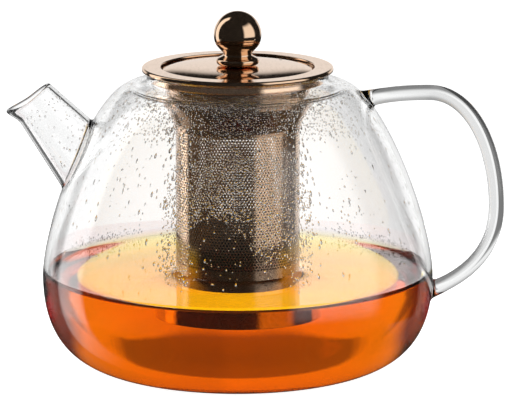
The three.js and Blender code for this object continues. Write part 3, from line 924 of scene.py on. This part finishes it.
class PourTea(Operator):
    """Fill the pot with tea that climbs the glass and the basket a little"""

    bl_idname = "teapot.tea"
    bl_label = "Tea"

    def execute(self, context):
        scene = context.scene
        pot, tea = scene.teapot_pot, scene.teapot_tea
        lap = 0.00003
        climb_width, basket_width = 0.0011, 0.0014
        side = pot_outline(pot, pot.wall - lap, fine=2)
        top = tea.level + tea.meniscus
        short = 0.0004
        wet = [p for p in side if p[1] < top - short]
        contact = side[len(wet)][0]
        section = [(0.0, pot.wall + pot.push_up - lap)]
        for part in reversed(FOOT_SHARES):
            section.append((pot.foot_radius * part, pot.wall + punt(pot, part) - lap))
        section += wet
        section.append((contact, top))
        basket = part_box("basket_wall")[1].x
        bore = basket - scene.teapot_infuser.sheet
        radii = [contact - d * MM for d in (0.08, 0.2, 0.4, 0.7, 1.1, 1.6, 2.2, 3, 4, 5.5, 8, 12, 18, 25, 32)]
        radii += [basket + d * MM for d in (14, 9, 6, 4.2, 3, 2, 1.3, 0.8, 0.45, 0.2, 0)]
        radii += [bore - d * MM for d in (0, 0.2, 0.45, 0.8, 1.3, 2, 3, 4.2, 6, 9, 13, 18, 22)]
        for radius in radii:
            rise = tea.meniscus * math.exp(-(contact - radius) / climb_width)
            gap = max(radius - basket, bore - radius, 0.0)
            section.append((radius, tea.level + rise + tea.climb * math.exp(-gap / basket_width)))
        section.append((0.0, tea.level))
        body = lathe("brewed_tea", section, 240, 30)
        body.data.materials.append(tea_material(tea))
        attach(body, "pot")
        return {"FINISHED"}


def dew_tree():
    """Drops scattered over a surface by its attribute wet: low domes, upright and a little longer than wide."""
    tree, given = new_tree("dew", {
        "Geometry": ("Surface",), "Object": ("Drop",),
        "Float": ("Spacing", "Density", "Least", "Most", "Tall", "Flat"), "Int": ("Seed",),
        "Material": ("Material",),
    })
    wet = add(tree, "GeometryNodeInputNamedAttribute", {"Name": "wet"}, data_type="FLOAT")
    points = add(
        tree, "GeometryNodeDistributePointsOnFaces",
        {"Mesh": given["Surface"], "Distance Min": given["Spacing"], "Density Max": given["Density"],
         "Density Factor": wet, "Seed": given["Seed"]},
        distribute_method="POISSON",
    )
    align = "FunctionNodeAlignRotationToVector"
    out = add(tree, align, {"Vector": points.outputs["Normal"]}, axis="Z")
    upright = add(tree, align, {"Rotation": out, "Vector": (0, 0, 1)}, axis="Y", pivot_axis="Z")

    def chance(low, high, offset):
        limits = {2: low, 3: high, 8: given["Seed"] + float(offset)}
        return Value(tree, add(tree, "FunctionNodeRandomValue", limits, data_type="FLOAT").outputs[1])

    grown = chance(0.0, 1.0, 1) ** 1.7
    size = grown.math("MULTIPLY_ADD", given["Most"] - given["Least"], given["Least"])
    tall = chance(0.75, 1.35, 2) * given["Tall"]
    wide = chance(0.8, 1.2, 3) * size
    flat = chance(0.8, 1.25, 4) * given["Flat"]
    scale = add(tree, "ShaderNodeCombineXYZ", {"X": wide, "Y": size * tall, "Z": size * flat})
    drop = outputs(tree, "GeometryNodeObjectInfo", {"Object": given["Drop"]})["Geometry"]
    drops = add(
        tree, "GeometryNodeInstanceOnPoints",
        {"Points": points, "Instance": drop, "Rotation": upright, "Scale": scale},
    )
    close_tree(tree, drops, given["Material"])
    return tree


def make_drop(name, sides, pear):
    """A low dome, one metre in radius, with a closed base just under the surface it lies on."""
    mesh = bmesh.new()
    sunk = -0.04
    rings = []
    for radius, height in ((1.0, sunk), (0.74, 0.66)):
        ring = []
        for i in range(sides):
            turn = math.tau * i / sides
            narrow = 1 - pear * max(0.0, math.sin(turn)) ** 1.5
            ring.append((radius * math.cos(turn) * narrow, radius * math.sin(turn), height))
        rings.append(ring)
    verts = make_verts(mesh, rings)
    bridge(mesh, verts)
    fan(mesh, verts[0], (0, 0, sunk))
    fan(mesh, verts[-1], (0, 0, 1))
    return finish_mesh(mesh, name, 0)


def wet_grid(rows, columns, place, wetness):
    """A mesh of rings that face in, and its vertices. Its attribute wet says how wet it is."""
    mesh = bmesh.new()
    wet = mesh.verts.layers.float.new("wet")
    grid = []
    for row in rows:
        grid.append([])
        for i in range(columns):
            turn = math.tau * i / columns
            vert = mesh.verts.new(place(row, turn))
            vert[wet] = wetness(vert.co, turn)
            grid[-1].append(vert)
    bridge(mesh, grid, True)
    return mesh, grid


def wet_surface(pot, wetness):
    """The inside of the pot above the tea."""
    low, high = 0.0405, 0.1215
    inner = Sheet(pot_outline(pot, pot.wall, fine=1))
    rows = [s for s in inner.run if low < inner.outline(s)[1] < high]

    def wet(spot, turn):
        return wetness(math.degrees(math.atan2(spot.x, -spot.y)), spot.z, spot)

    return to_data(wet_grid(rows, 240, lambda s, turn: inner.place(turn, s), wet)[0], "wet_surface")


def wet_bore(pot, spout):
    """The inside of the spout: wettest along its top."""
    columns, rows = 48, 24
    wet_end = 0.0325
    length_wet = wet_end - spout.lip_depth

    def place(k, turn):
        return spout_point(spout, pot, spout.lip_depth + length_wet * k / (rows - 1), turn, spout.wall)

    def wet(spot, turn):
        return 0.15 + 0.6 * max(0.0, math.cos(turn)) + 0.3 * max(0.0, -math.cos(turn)) ** 4

    mesh, grid = wet_grid(range(rows), columns, place, wet)
    middle = sum((v.co for v in grid[rows // 2]), Vector()) / columns
    mesh.normal_update()
    face = mesh.faces[:][columns * rows // 2]
    if face.normal.dot(middle - face.calc_center_median()) < 0:
        bmesh.ops.reverse_faces(mesh, faces=mesh.faces[:])
    return to_data(mesh, "wet_bore")


def smooth(value, low, high):
    t = min(max((value - low) / (high - low), 0.0), 1.0)
    return t * t * (3 - 2 * t)


def band(value, low, in_low, in_high, high):
    """One between the inner limits and zero outside the outer ones."""
    return smooth(value, low, in_low) * (1 - smooth(value, in_high, high))


def lumps(spot, patches):
    """Noise, in patches a metre."""
    return noise.noise(spot * patches)


# How wet the glass is: front is in degrees from the camera's side, heights and places are in metres.


def spout_side(spot):
    """Zero over the hole of the spout."""
    hole_height, hole_radius = 0.0885, 0.0165
    gap = math.hypot(spot.y, (spot.z - hole_height) * 0.8)
    return 0.0 if spot.x < 0 and gap < hole_radius else 1.0


def front_wetness(front, height, spot):
    """The dense dew in front of the basket, ending above the tea."""
    side = abs(front)
    patchy = 0.85 + 0.6 * lumps(spot, 140)
    edge = 26 - 3.5 * smooth(height, 0.06, 0.1)
    across = (1 - smooth(side, edge, edge + 4)) * (1 - smooth(abs(spot.x), 0.0275, 0.0315))
    bare = (1 - smooth(side, 13, 18)) * (1 - smooth(height + 0.02 * lumps(spot, 90), 0.066, 0.08))
    return max(0.0, across * patchy * band(height, 0.048, 0.052, 0.1, 0.104) * (1 - 0.93 * bare))


def neck_wetness(front, height, spot):
    """The dense dew round the neck, thinning towards the sides and on the shoulder."""
    drift = 0.9 + 0.5 * lumps(spot, 60)
    low = 0.1 + 0.008 * lumps(spot, 30)
    around = 1 - 0.85 * smooth(abs(front), 34, 62)
    return max(0.0, smooth(height, low - 0.002, low + 0.008) * around * drift)


def side_wetness(front, height, spot):
    """The few drops on the sides."""
    patchy = max(0.0, 0.05 + 0.7 * lumps(spot, 48))
    wet = (patchy * 0.28 + 0.015) * band(abs(front), 26, 31, 105, 120)
    return wet * band(height, 0.052, 0.06, 0.1, 0.108) * spout_side(spot)


def back_wetness(front, height, spot):
    """The dew on the back, most of it just above the tea at both sides."""
    side = abs(front)
    line = band(side, 112, 122, 143, 152) * (1 - smooth(height, 0.0425, 0.0465))
    few = 0.1 * smooth(side, 120, 135) * max(0.0, 0.3 + lumps(spot, 50)) * (1 - smooth(height, 0.08, 0.1))
    return max(line, few)


def run_wetness(front, height, spot):
    """Runs, most of them beside the basket's edges."""
    side = abs(front)
    patchy = max(0.0, 0.6 + noise.noise(spot * 60 + Vector((5, 5, 5))))
    beside = band(side, 18.5, 22, 27, 31) * (1 - smooth(abs(spot.x), 0.0315, 0.035))
    base = 0.03 if side > 105 else 0.06 + 1.2 * beside + 0.1 * smooth(side, 60, 85)
    return max(0.0, base * patchy * smooth(height, 0.05, 0.057)) * spout_side(spot)


class SettleDew(Operator):
    """Settle condensed steam on the inside of the glass: fine drops, and longer runs"""

    bl_idname = "teapot.dew"
    bl_label = "Dew"

    def execute(self, context):
        scene = context.scene
        pot, spout, dew = scene.teapot_pot, scene.teapot_spout, scene.teapot_dew
        water = clear_material("dew_water", WATER_IOR, 300, (200, 0.02), (900, 0.0001))
        tree = dew_tree()
        round_drop = make_drop("round_drop", 6, 0.0)
        long_drop = make_drop("long_drop", 7, 0.45)
        fine = (round_drop, dew.least, dew.most, dew.spacing)
        runs = (long_drop, dew.run / 2, dew.run, dew.run_spacing)
        # Name, wet surface, kind of drop, times its spacing, most drops a square metre, how tall and how flat.
        kinds = (
            ("dew_before_basket", wet_surface(pot, front_wetness), fine, 1, 3e6, 1.2, 0.8),
            ("dew_round_neck", wet_surface(pot, neck_wetness), fine, 1.15, 3e6, 1.2, 0.75),
            ("dew_on_sides", wet_surface(pot, side_wetness), fine, 1.7, 1e6, 1.4, 0.28),
            ("dew_on_back", wet_surface(pot, back_wetness), fine, 1.5, 1.5e6, 1.2, 0.45),
            ("dew_runs", wet_surface(pot, run_wetness), runs, 1, 0.3e6, 2.2, 0.6),
            ("dew_in_spout", wet_bore(pot, spout), fine, 2.4, 0.5e6, 1.3, 0.4),
        )
        for turn, (name, wet, kind, wider, density, tall, flat) in enumerate(kinds):
            drop, least, most, spacing = kind
            values = {
                "Drop": drop, "Spacing": spacing * wider, "Density": density, "Least": least, "Most": most,
                "Tall": tall, "Flat": flat, "Seed": dew.seed + 11 * turn, "Material": water,
            }
            drops = run_tree(name, tree, values, wet)
            drops.data.shade_smooth()
            drops.data.materials.clear()
            drops.data.materials.append(water)
            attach(drops, "pot")
        bpy.data.objects.remove(round_drop)
        bpy.data.objects.remove(long_drop)
        return {"FINISHED"}


class LayLeaves(Operator):
    """Heap the wet leaves in the basket"""

    bl_idname = "teapot.leaves"
    bl_label = "Tea leaves"

    def execute(self, context):
        tea = context.scene.teapot_tea
        low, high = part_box("basket_base")
        play, lift, tilt, heaped = 0.0014, 0.0012, 0.004, 0.002
        radius, foot = high.x - play, low.z + lift
        mesh = bmesh.new()
        rings = []
        turns = circle(1, 0, 96)
        for level in [0.0, 0.02, 0.06] + [0.06 + 0.94 * k / 22 for k in range(1, 23)]:
            ring = []
            for turn in turns:
                spot = Vector((turn.x, turn.y, level * 2.4))
                lump = noise.fractal(spot * 5, 0.6, 2.2, 4) * 0.0009
                out = radius * (0.94 if level == 0 else 1) - play / 2 + min(lump, 0.0006)
                ring.append((out * turn.x, out * turn.y, foot + (tea.leaves - foot + tilt * turn.x) * level))
            rings.append(ring)
        for part in (0.93, 0.8, 0.65, 0.5, 0.35, 0.2, 0.08):
            ring = []
            for turn in turns:
                spot = turn * part * radius
                lump = noise.fractal(spot * 260, 0.7, 2.1, 4) * 0.0016
                heap = heaped * (1 - part * part) + tilt * turn.x * part
                ring.append((spot.x, spot.y, tea.leaves + heap + lump))
            rings.append(ring)
        verts = make_verts(mesh, rings)
        bridge(mesh, verts)
        fan(mesh, verts[0], (0, 0, foot))
        fan(mesh, verts[-1], (0, 0, tea.leaves + heaped))
        heap = finish_mesh(mesh, "wet_leaf_heap", 60)
        heap.data.materials.append(patchy_material(
            "wet_tea_leaves", (350, 4), ((0.012, 0.005, 0.002), (0.055, 0.022, 0.008)), (0.25, 0.6),
            ((500, 4), 0.8, 0.0006),
        ))
        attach(heap, "infuser")
        return {"FINISHED"}


class MakeBasket(Operator):
    """Roll the etched basket and press its base"""

    bl_idname = "teapot.basket"
    bl_label = "Basket"

    def execute(self, context):
        sizes = context.scene.teapot_infuser
        low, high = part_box("basket_wall")
        bore = high.x - sizes.sheet
        steel = brushed_material("etched_copper_steel", sizes.steel, 0.14)
        columns = round(math.tau * bore / sizes.pitch)
        rise = math.tau * bore / columns * math.sqrt(3) / 2
        foot = low.z + sizes.plain_band
        rows = int((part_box("infuser_collar")[0].z - foot) / rise) + 1
        wall = run_tree(
            "etched_basket_wall", etched_sheet_tree(),
            {"Columns": columns, "Rows": rows, "Bore": bore, "Foot": foot, "Sheet": sizes.sheet,
             "Hole": sizes.hole, "Material": steel},
        )
        mend_normals(wall, 30)
        look = (steel, "infuser", "basket_steel")
        dress(wall, *look, "basket_wall")
        skin, lap = 0.02, 0.4
        outer, inner = high.x / MM + skin, bore / MM - skin
        rim = (foot + rise * (rows - 1)) / MM - lap
        bands = (("basket_plain_band", low.z / MM, foot / MM + lap), ("basket_top_rim", rim, high.z / MM))
        for name, bottom, top in bands:
            turn_piece(name, ring_section(inner, outer, bottom, top, 0.15, 0.15, 0, 0), 160, *look, "basket_wall")
        low, high = box_mm("basket_base")
        edge, under, top = high.x, low.z, high.z
        sheet = 0.6
        plate = under + sheet
        section = [
            (0, plate), (6, plate, 1.5), (8, under, 1.5), (edge, under, 1.4), (edge, top, 0.2),
            (edge - sheet, top, 0.2), (edge - sheet, plate, 0.9), (8.3, plate, 1.2), (6.3, plate + sheet, 1.2),
            (0, plate + sheet),
        ]
        turn_piece("basket_pressed_base", section, 160, *look, "basket_base")
        return {"FINISHED"}


class MakeInfuserTop(Operator):
    """Press the flange, its sleeve and the collar, and lay the neck seal under the flange"""

    bl_idname = "teapot.infuser_top"
    bl_label = "Infuser flange and collar"

    def execute(self, context):
        looks = context.scene.teapot_looks
        gold = plated_material(looks)
        context.scene["rose_gold"] = gold.name
        sheet = 0.6
        low, high = box_mm("infuser_flange")
        edge, top, end = high.x, high.z, low.z
        opening, sleeve = 32.1, 35.0
        plate, lip, roll = top - 1.0, top - 1.8, edge - 1.1
        section = [
            (opening, plate, 0.3), (sleeve, plate), (sleeve, end, 0.2), (sleeve + sheet, end, 0.2),
            (sleeve + sheet, plate, 0.3), (roll, plate, 0.2), (roll, lip, 0.4), (edge, lip, 0.5), (edge, top, 0.9),
            (opening, top, 0.4),
        ]
        turn_piece("rolled_flange", section, 240, gold, "infuser", "rose_gold", "infuser_flange")
        low, high = box_mm("infuser_collar")
        ledge, foot = high.z, low.z
        edge, tube, sleeve = 35.02, 30.1, 26.3
        taper, tapered = ledge - 11.7, foot + 2.0
        section = [
            (edge, ledge, 0.1), (tube, ledge, 0.5), (tube, taper, 1.5), (sleeve, tapered, 1.2),
            (sleeve, foot, 0.2), (sleeve + sheet, foot, 0.2), (sleeve + sheet, tapered, 1.2),
            (tube + sheet, taper, 1.5), (tube + sheet, ledge - sheet, 0.4), (edge, ledge - sheet, 0.1),
        ]
        # The collar's darkened bronze is painted shade.
        shaded_bronze = brushed_material("satin_bronze_shaded", looks.shaded_bronze, 0.16, (1, 1, 0.2))
        turn_piece("drawn_collar", section, 200, shaded_bronze, "infuser", "rose_gold", "infuser_collar")
        low, high = box_mm("neck_seal")
        section = ring_section(36.3, high.x, low.z, high.z, 0.2, 0.2, 0.2, 0.2)
        turn_piece("soft_neck_seal", section, 160, silicone_material(), "seal", "silicone", "neck_seal")
        return {"FINISHED"}


class MakeLid(Operator):
    """Press the domed cap with its two vents, the inner shell and the soft ring on its skirt"""

    bl_idname = "teapot.lid"
    bl_label = "Lid"

    def execute(self, context):
        scene = context.scene
        steel = brushed_material("satin_steel", scene.teapot_looks.steel, 0.28)
        low, high = box_mm("lid_cap")
        edge, rim, top = high.x, low.z, high.z
        drop = scene.teapot_lid.drop / MM
        sheet = 0.8
        dome = []
        for part in (0.12, 0.25, 0.4, 0.55, 0.68, 0.78, 0.85, 0.9, 0.94, 0.97, 0.985):
            bend = 0.35 * part**2 + 0.65 * part**7
            dome.append((part * (edge - 0.35), top - drop * bend))
        shell = [(radius, height - sheet) for radius, height in dome[:-2]]
        section = [
            (0, top), *dome, (edge, top - drop - 0.1, 0.17), (edge, rim, 0.12), (edge - sheet, rim, 0.12),
            *reversed(shell), (0, top - sheet),
        ]
        cap = lathe("domed_cap", soften(section), 240)
        vent = scene.teapot_lid.vent
        drill(cap, [(41, edge - 7.2), (46, edge - 3.6)], vent, rim, top + 2)
        dress(cap, bpy.data.materials[scene["rose_gold"]], "lid", "rose_gold", "lid_cap")

        low, high = box_mm("lid_liner")
        bottom, boss, skirt = low.z, high.z, high.x
        plate, sheet = boss - 1.4, 0.6
        section = [
            (0, boss), (6.3, boss, 0.8), (7.7, plate, 0.8), (skirt, plate, 0.9), (skirt, bottom, 0.25),
            (skirt - sheet, bottom, 0.25), (skirt - sheet, plate - sheet, 0.5), (7.4, plate - sheet, 0.8),
            (6.0, boss - sheet, 0.8), (0, boss - sheet),
        ]
        liner = lathe("inner_shell", soften(section), 200)
        drill(liner, [(41, 20.0), (46, 23.6)], vent, plate - 2, plate + 1)
        dress(liner, steel, "lid", "liner_steel", "lid_liner")

        low, high = box_mm("lid_seal")
        bore, lip, middle = skirt + 0.12, high.x - 0.8, (low.z + high.z) / 2
        section = [
            (bore, low.z, 0.2), (lip, low.z, 0.3), (high.x, middle, 0.4), (lip, high.z, 0.3), (bore, high.z, 0.2),
        ]
        turn_piece("soft_lid_ring", section, 160, silicone_material(), "lid_ring", "silicone", "lid_seal")
        return {"FINISHED"}


def drill(thing, places, radius, low, high):
    """Cut round holes at (degrees, radius in mm) straight down through a piece, between two heights in mm."""
    mesh = bmesh.new()
    for degrees, out in places:
        turn = math.radians(degrees)
        centre = (out * MM * math.cos(turn), out * MM * math.sin(turn))
        rings = make_verts(mesh, (circle(radius, height * MM, 24, centre) for height in (low, high)))
        bridge(mesh, rings)
        mesh.faces.new(rings[0][::-1])
        mesh.faces.new(rings[1])
    bmesh.ops.recalc_face_normals(mesh, faces=mesh.faces)
    tool = show("vent_drill", to_data(mesh, "vent_drill"))
    cut = thing.modifiers.new("vents", "BOOLEAN")
    cut.operation = "DIFFERENCE"
    cut.solver = "EXACT"
    cut.object = tool
    apply_modifier(thing, cut)
    bpy.data.objects.remove(tool)
    mend_normals(thing, 35)


class MakeKnob(Operator):
    """Turn the ball knob, its stem, and the screw and washer that hold it"""

    bl_idname = "teapot.knob"
    bl_label = "Knob"

    def execute(self, context):
        scene = context.scene
        looks = scene.teapot_looks
        gold = (bpy.data.materials[scene["rose_gold"]], "lid", "rose_gold")
        high = box_mm("knob_ball")[1]
        radius = high.x
        centre = high.z - radius
        low, high = box_mm("knob_stem")
        seam = high.z + 0.15
        wall, gap, bore = 1.2, 0.06, 3.25
        groove = scene.teapot_lid.groove / MM
        over, under, groove_height = seam + gap, seam - gap, groove * 0.8

        def arc(size, start, end, steps):
            angles = (math.radians(start + (end - start) * k / steps) for k in range(steps + 1))
            return [(size * math.cos(a), centre + size * math.sin(a)) for a in angles]

        def slope(size, height):
            return math.degrees(math.asin((height - centre) / size))

        def width_at(height):
            return math.sqrt(radius**2 - (height - centre) ** 2)

        outer = arc(radius, slope(radius, over + groove_height), 90, 34)
        inner = arc(radius - wall, 90, slope(radius - wall, over), 20)
        outer[-1] = (0, outer[-1][1])
        inner[0] = (0, inner[0][1])
        section = [*inner, (width_at(over) - groove, over), *outer]
        turn_piece("ball_shell", section, 160, *gold, "knob_ball")

        foot, foot_radius, neck_radius = low.z, 9.0, 6.0
        neck, widest = box_mm("lid_cap")[1].z + 4.9, foot + 1.9
        joint, joint_low = width_at(under), under - groove_height
        bulge, waist, top = (foot_radius, widest), (neck_radius, neck), (joint, joint_low)
        toe = (foot_radius - 1.2, foot + 0.12)
        flare = cubic(toe, (foot_radius - 0.3, foot + 0.3), (foot_radius, widest - 0.8), bulge, 10)
        flare += cubic(bulge, (foot_radius, widest + 1.4), (neck_radius, neck - 1.5), waist, 14, 1)
        rise = cubic(waist, (neck_radius, neck + 1.1), (joint - 1.1, joint_low - 2.3), top, 14, 1)
        section = [
            (bore, under, 0.1), (joint - groove, under), *reversed(rise), *reversed(flare),
            (foot_radius - 1.4, foot), (bore, foot, 0.1),
        ]
        turn_piece("knob_stem_shell", section, 160, *gold, "knob_stem")

        steel = (brushed_material("screw_steel", looks.steel, 0.22), "lid", "liner_steel")
        low, high = box_mm("knob_washer")
        section = ring_section(1.9, high.x, low.z, high.z, 0.1, 0.2, 0.2, 0.1)
        turn_piece("clamp_washer", section, 96, *steel, "knob_washer")
        low, high = box_mm("knob_screw")
        foot, top = low.z, high.z
        recess, head, head_radius, shank = foot + 0.9, foot + 1.6, 3.0, 1.5
        section = [
            (0, recess), (0.9, recess, 0.1), (1.1, foot, 0.1), (head_radius, foot, 0.5), (head_radius, head, 0.1),
            (shank, head, 0.1), (shank, top, 0.2), (0, top),
        ]
        turn_piece("clamp_screw", section, 64, *steel, "knob_screw")
        dress_node("knob_insert", brushed_material("turned_brass", looks.brass, 0.25))
        return {"FINISHED"}


def dress_node(node, material):
    """Give a node that stays its material."""
    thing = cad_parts[node]
    for slot in thing.material_slots:
        slot.material = material
    if not thing.material_slots:
        thing.data.materials.append(material)


def less(value, part):
    """One, less a part of a value."""
    return value * -part + 1.0


def light_path(tree):
    """Whether light has been reflected, has crossed a surface, and has crossed more than two."""
    path = outputs(tree, "ShaderNodeLightPath")
    return path["Glossy Depth"] > 0.5, path["Transmission Depth"] > 0.5, path["Transmission Depth"] > 2.5


def object_place(tree):
    """The object's own coordinates, whole and by X, Y and Z."""
    spot = add(tree, "ShaderNodeTexCoord").outputs["Object"]
    return spot, outputs(tree, "ShaderNodeSeparateXYZ", {0: spot})


class SetStudio(Operator):
    """Lay the white floor, hang the soft light round it and place the camera"""

    bl_idname = "teapot.studio"
    bl_label = "Studio"

    def execute(self, context):
        scene = context.scene
        studio = scene.teapot_studio
        light_world(scene, studio.brightness)
        lay_floor()
        hang_shade()
        camera = show("camera", bpy.data.cameras.new("camera"))
        camera.location = (0, -studio.distance, studio.height)
        aim = Vector((studio.aim_x, 0, studio.aim_z)) - camera.location
        camera.rotation_euler = aim.to_track_quat("-Z", "Y").to_euler()
        camera.data.lens = studio.lens
        camera.data.sensor_width = 36
        camera.data.clip_end = 50
        scene.camera = camera
        scene.view_settings.view_transform = "Standard"
        scene.cycles.max_bounces = 32
        scene.cycles.transmission_bounces = 28
        scene.cycles.glossy_bounces = 8
        scene.cycles.transparent_max_bounces = 16
        return {"FINISHED"}


def light_world(scene, brightness):
    """White surroundings. Reflections see soft boxes in them, and light through the glass sees dark gaps.

    Directions are in degrees: azimuth 0 is the camera's side and grows to its right, elevation 0 is level.
    A window has two limits and the softness of both. Eased light goes from one limit's value to the other's.
    """
    world = bpy.data.worlds.new("white_studio")
    scene.world = world
    world.use_nodes = True
    tree = world.node_tree
    tree.nodes.clear()
    generated = add(tree, "ShaderNodeTexCoord").outputs["Generated"]
    way = outputs(tree, "ShaderNodeSeparateXYZ", {0: generated})
    azimuth = way["X"].math("ARCTAN2", way["Y"] * -1.0).math("DEGREES")
    elevation = way["Z"].math("ARCSINE").math("DEGREES")
    bounced, bent, deep = light_path(tree)
    off_front = abs(azimuth)

    wider = off_front + deep * ((azimuth < 0.0) * 26.0 + 4.0)
    backdrop = wider.window(141, 500, 4) * (elevation + bent * 13.0).window(-9, 200, 4)
    backdrop = backdrop * elevation.eased(10.5, 18.5, 0.9, 0) * (deep * 0.9 + 1.0)
    left = azimuth.window(-131, -105, 2) * elevation.eased(-54, -14, 0, 1) * elevation.eased(58, 62, 1, 0)
    right = azimuth.window(33, 91, 6) * elevation.window(-17, 80, 4) * elevation.eased(35, 53, 1, 0)
    right = right * bent.math("MAXIMUM", elevation.eased(-10, -6, 0, 1))
    boxes = left * (bent * 0.6 + 1.25) + right * (bent * 0.4 + 1.05) + backdrop
    reflected = grey(tree, boxes + bent * 0.06 + 0.015)

    right_weight = ((azimuth > 0.0) * 0.14 + 0.06) * less(deep, 0.4)
    edge_fall = (180.0 - off_front).eased(0.8, 3.6, 0, 1) * right_weight
    # The rod and the shoulder see one set of gaps, and what shows through the whole pot another.
    rod_card = azimuth.window(-173, -112, 1.2) * elevation.window(-70, -2, 4)
    by_rod = less(rod_card, 0.78) * less(azimuth.window(114, 126, 2), 0.75)
    by_rod = by_rod * less(elevation.eased(-13.5, -30, 0, 0.7), 1) * less(elevation.eased(0, 24, 0, 0.5), 1)
    by_pot = (off_front.window(141, 400, 6) + 0.05) * elevation.eased(-9, -2, 1, 1.28)
    through = by_rod + (by_pot - by_rod) * deep
    in_glass = brightness * 0.92
    seen_through = grey(tree, through * less(edge_fall, 1) * in_glass)
    clear = blend(tree, bent, (brightness,) * 3, seen_through)
    light = blend(tree, bounced, clear, reflected)
    background = add(tree, "ShaderNodeBackground", {"Color": light, "Strength": 1.0})
    add(tree, "ShaderNodeOutputWorld", {"Surface": background})


def stage_face(name, corners):
    """A flat mesh of one face that belongs to the stage. Gives the tree of its material."""
    mesh = bpy.data.meshes.new(name)
    mesh.from_pydata(corners, [], [tuple(range(len(corners)))])
    material, tree = blank(f"{name}_look")
    mesh.materials.append(material)
    show(name, mesh)
    return tree


def lay_floor():
    """A round white floor. Light that has crossed the pot sees it glow, more behind the pot than before it."""
    radius, level, mirrored_radius = 0.3, -0.0003, 0.13
    tree = stage_face("studio_floor", circle(radius, level, 96))
    pale = grey(tree, grown_noise(tree, 300, 3).ranged(0.3, 0.7, 0.78, 0.82))
    shader = surface(tree, {"Base Color": pale, "Roughness": 0.8, "Specular IOR Level": 0.1})
    fill = add(tree, "ShaderNodeEmission", {"Color": (1, 1, 1), "Strength": 0.95})
    lit = add(tree, "ShaderNodeAddShader", {0: shader, 1: fill})
    bounced, bent, deep = light_path(tree)
    spot, place = object_place(tree)
    behind = place["Y"].eased(-0.045, -0.01, 0.03, 1.05)
    near = place["Y"].ranged(0.0, 0.08, 1.8, 0.85)
    shown = behind.math("MAXIMUM", near * less(bounced, 1.0))
    glow = add(tree, "ShaderNodeEmission", {"Color": (1, 0.95, 0.95), "Strength": shown})
    indirect = bounced.math("MAXIMUM", bent)
    both = add(tree, "ShaderNodeMixShader", {0: indirect, 1: lit, 2: glow})
    out = Value(tree, add(tree, "ShaderNodeVectorMath", {0: spot}, operation="LENGTH").outputs["Value"])
    hidden = ((out > mirrored_radius) * bounced).math("MAXIMUM", indirect * less(deep, 1.0))
    whole = add(tree, "ShaderNodeMixShader", {0: hidden, 1: both, 2: add(tree, "ShaderNodeBsdfTransparent")})
    feed(tree, tree.nodes["Material Output"].inputs["Surface"], whole)


def hang_shade():
    """A small sheet of painted shade close behind the pot. Only light that has crossed the tea meets it, and it
    darkens that light.
    """
    across, low, high, back = 0.028, 0.006, 0.03, 0.095
    half_width, top_slope, slope_from = 0.0162, 0.55, 0.0155
    foot_rise, head_rise, darkness = 0.0055, 0.0015, 0.6
    corners = [(-across, back, low), (across, back, low), (across, back, high), (-across, back, high)]
    tree = stage_face("studio_shade", corners)
    _, place = object_place(tree)
    bounced, _, deep = light_path(tree)
    side, height = abs(place["X"]), place["Z"]
    reach_out = side * (1 / half_width)
    slanted = (height - slope_from).math("MAXIMUM", 0.0) * top_slope + side
    lifted = reach_out**4.0 * -foot_rise + height
    bowed = reach_out**2.0 * -head_rise + height
    inside = slanted.eased(0.0154, 0.0168, 1, 0) * lifted.eased(0.0108, 0.0122, 0, 1)
    crossed = deep * less(bounced, 1.0) * inside * bowed.eased(0.0178, 0.0191, 1, 0)
    # Painted shade: light that has crossed the tea is darkened here.
    clear = add(tree, "ShaderNodeBsdfTransparent", {"Color": grey(tree, less(crossed, darkness))})
    add(tree, "ShaderNodeOutputMaterial", {"Surface": clear})


STEPS = (MakeGlassPot, PourTea, SettleDew, LayLeaves, MakeBasket, MakeInfuserTop, MakeLid, MakeKnob, SetStudio)
GROUPS = {
    "teapot_pot": PotSizes,
    "teapot_spout": SpoutSizes,
    "teapot_handle": HandleSizes,
    "teapot_infuser": InfuserSizes,
    "teapot_lid": LidSizes,
    "teapot_looks": MetalLooks,
    "teapot_tea": TeaSizes,
    "teapot_dew": DewSizes,
    "teapot_studio": StudioSizes,
}


class TEAPOT_PT_sidebar(Panel):
    """Sizes and steps of the teapot"""

    bl_label = "Teapot"
    bl_space_type = "VIEW_3D"
    bl_region_type = "UI"
    bl_category = "Teapot"

    def draw(self, context):
        for name in GROUPS:
            box = self.layout.box()
            group = getattr(context.scene, name)
            box.label(text=name.removeprefix("teapot_").capitalize())
            for key in group.bl_rna.properties.keys():
                if key not in ("rna_type", "name"):
                    box.prop(group, key)
        for step in STEPS:
            self.layout.operator(step.bl_idname)


def register():
    for group in GROUPS.values():
        bpy.utils.register_class(group)
    for name, group in GROUPS.items():
        setattr(bpy.types.Scene, name, PointerProperty(type=group))
    for step in STEPS:
        bpy.utils.register_class(step)
    bpy.utils.register_class(TEAPOT_PT_sidebar)


def unregister():
    bpy.utils.unregister_class(TEAPOT_PT_sidebar)
    for step in reversed(STEPS):
        bpy.utils.unregister_class(step)
    for name, group in GROUPS.items():
        delattr(bpy.types.Scene, name)
        bpy.utils.unregister_class(group)


def main():
    register()
    for step in STEPS:
        family, name = step.bl_idname.split(".")
        getattr(getattr(bpy.ops, family), name)()


if __name__ == "__main__":
    main()
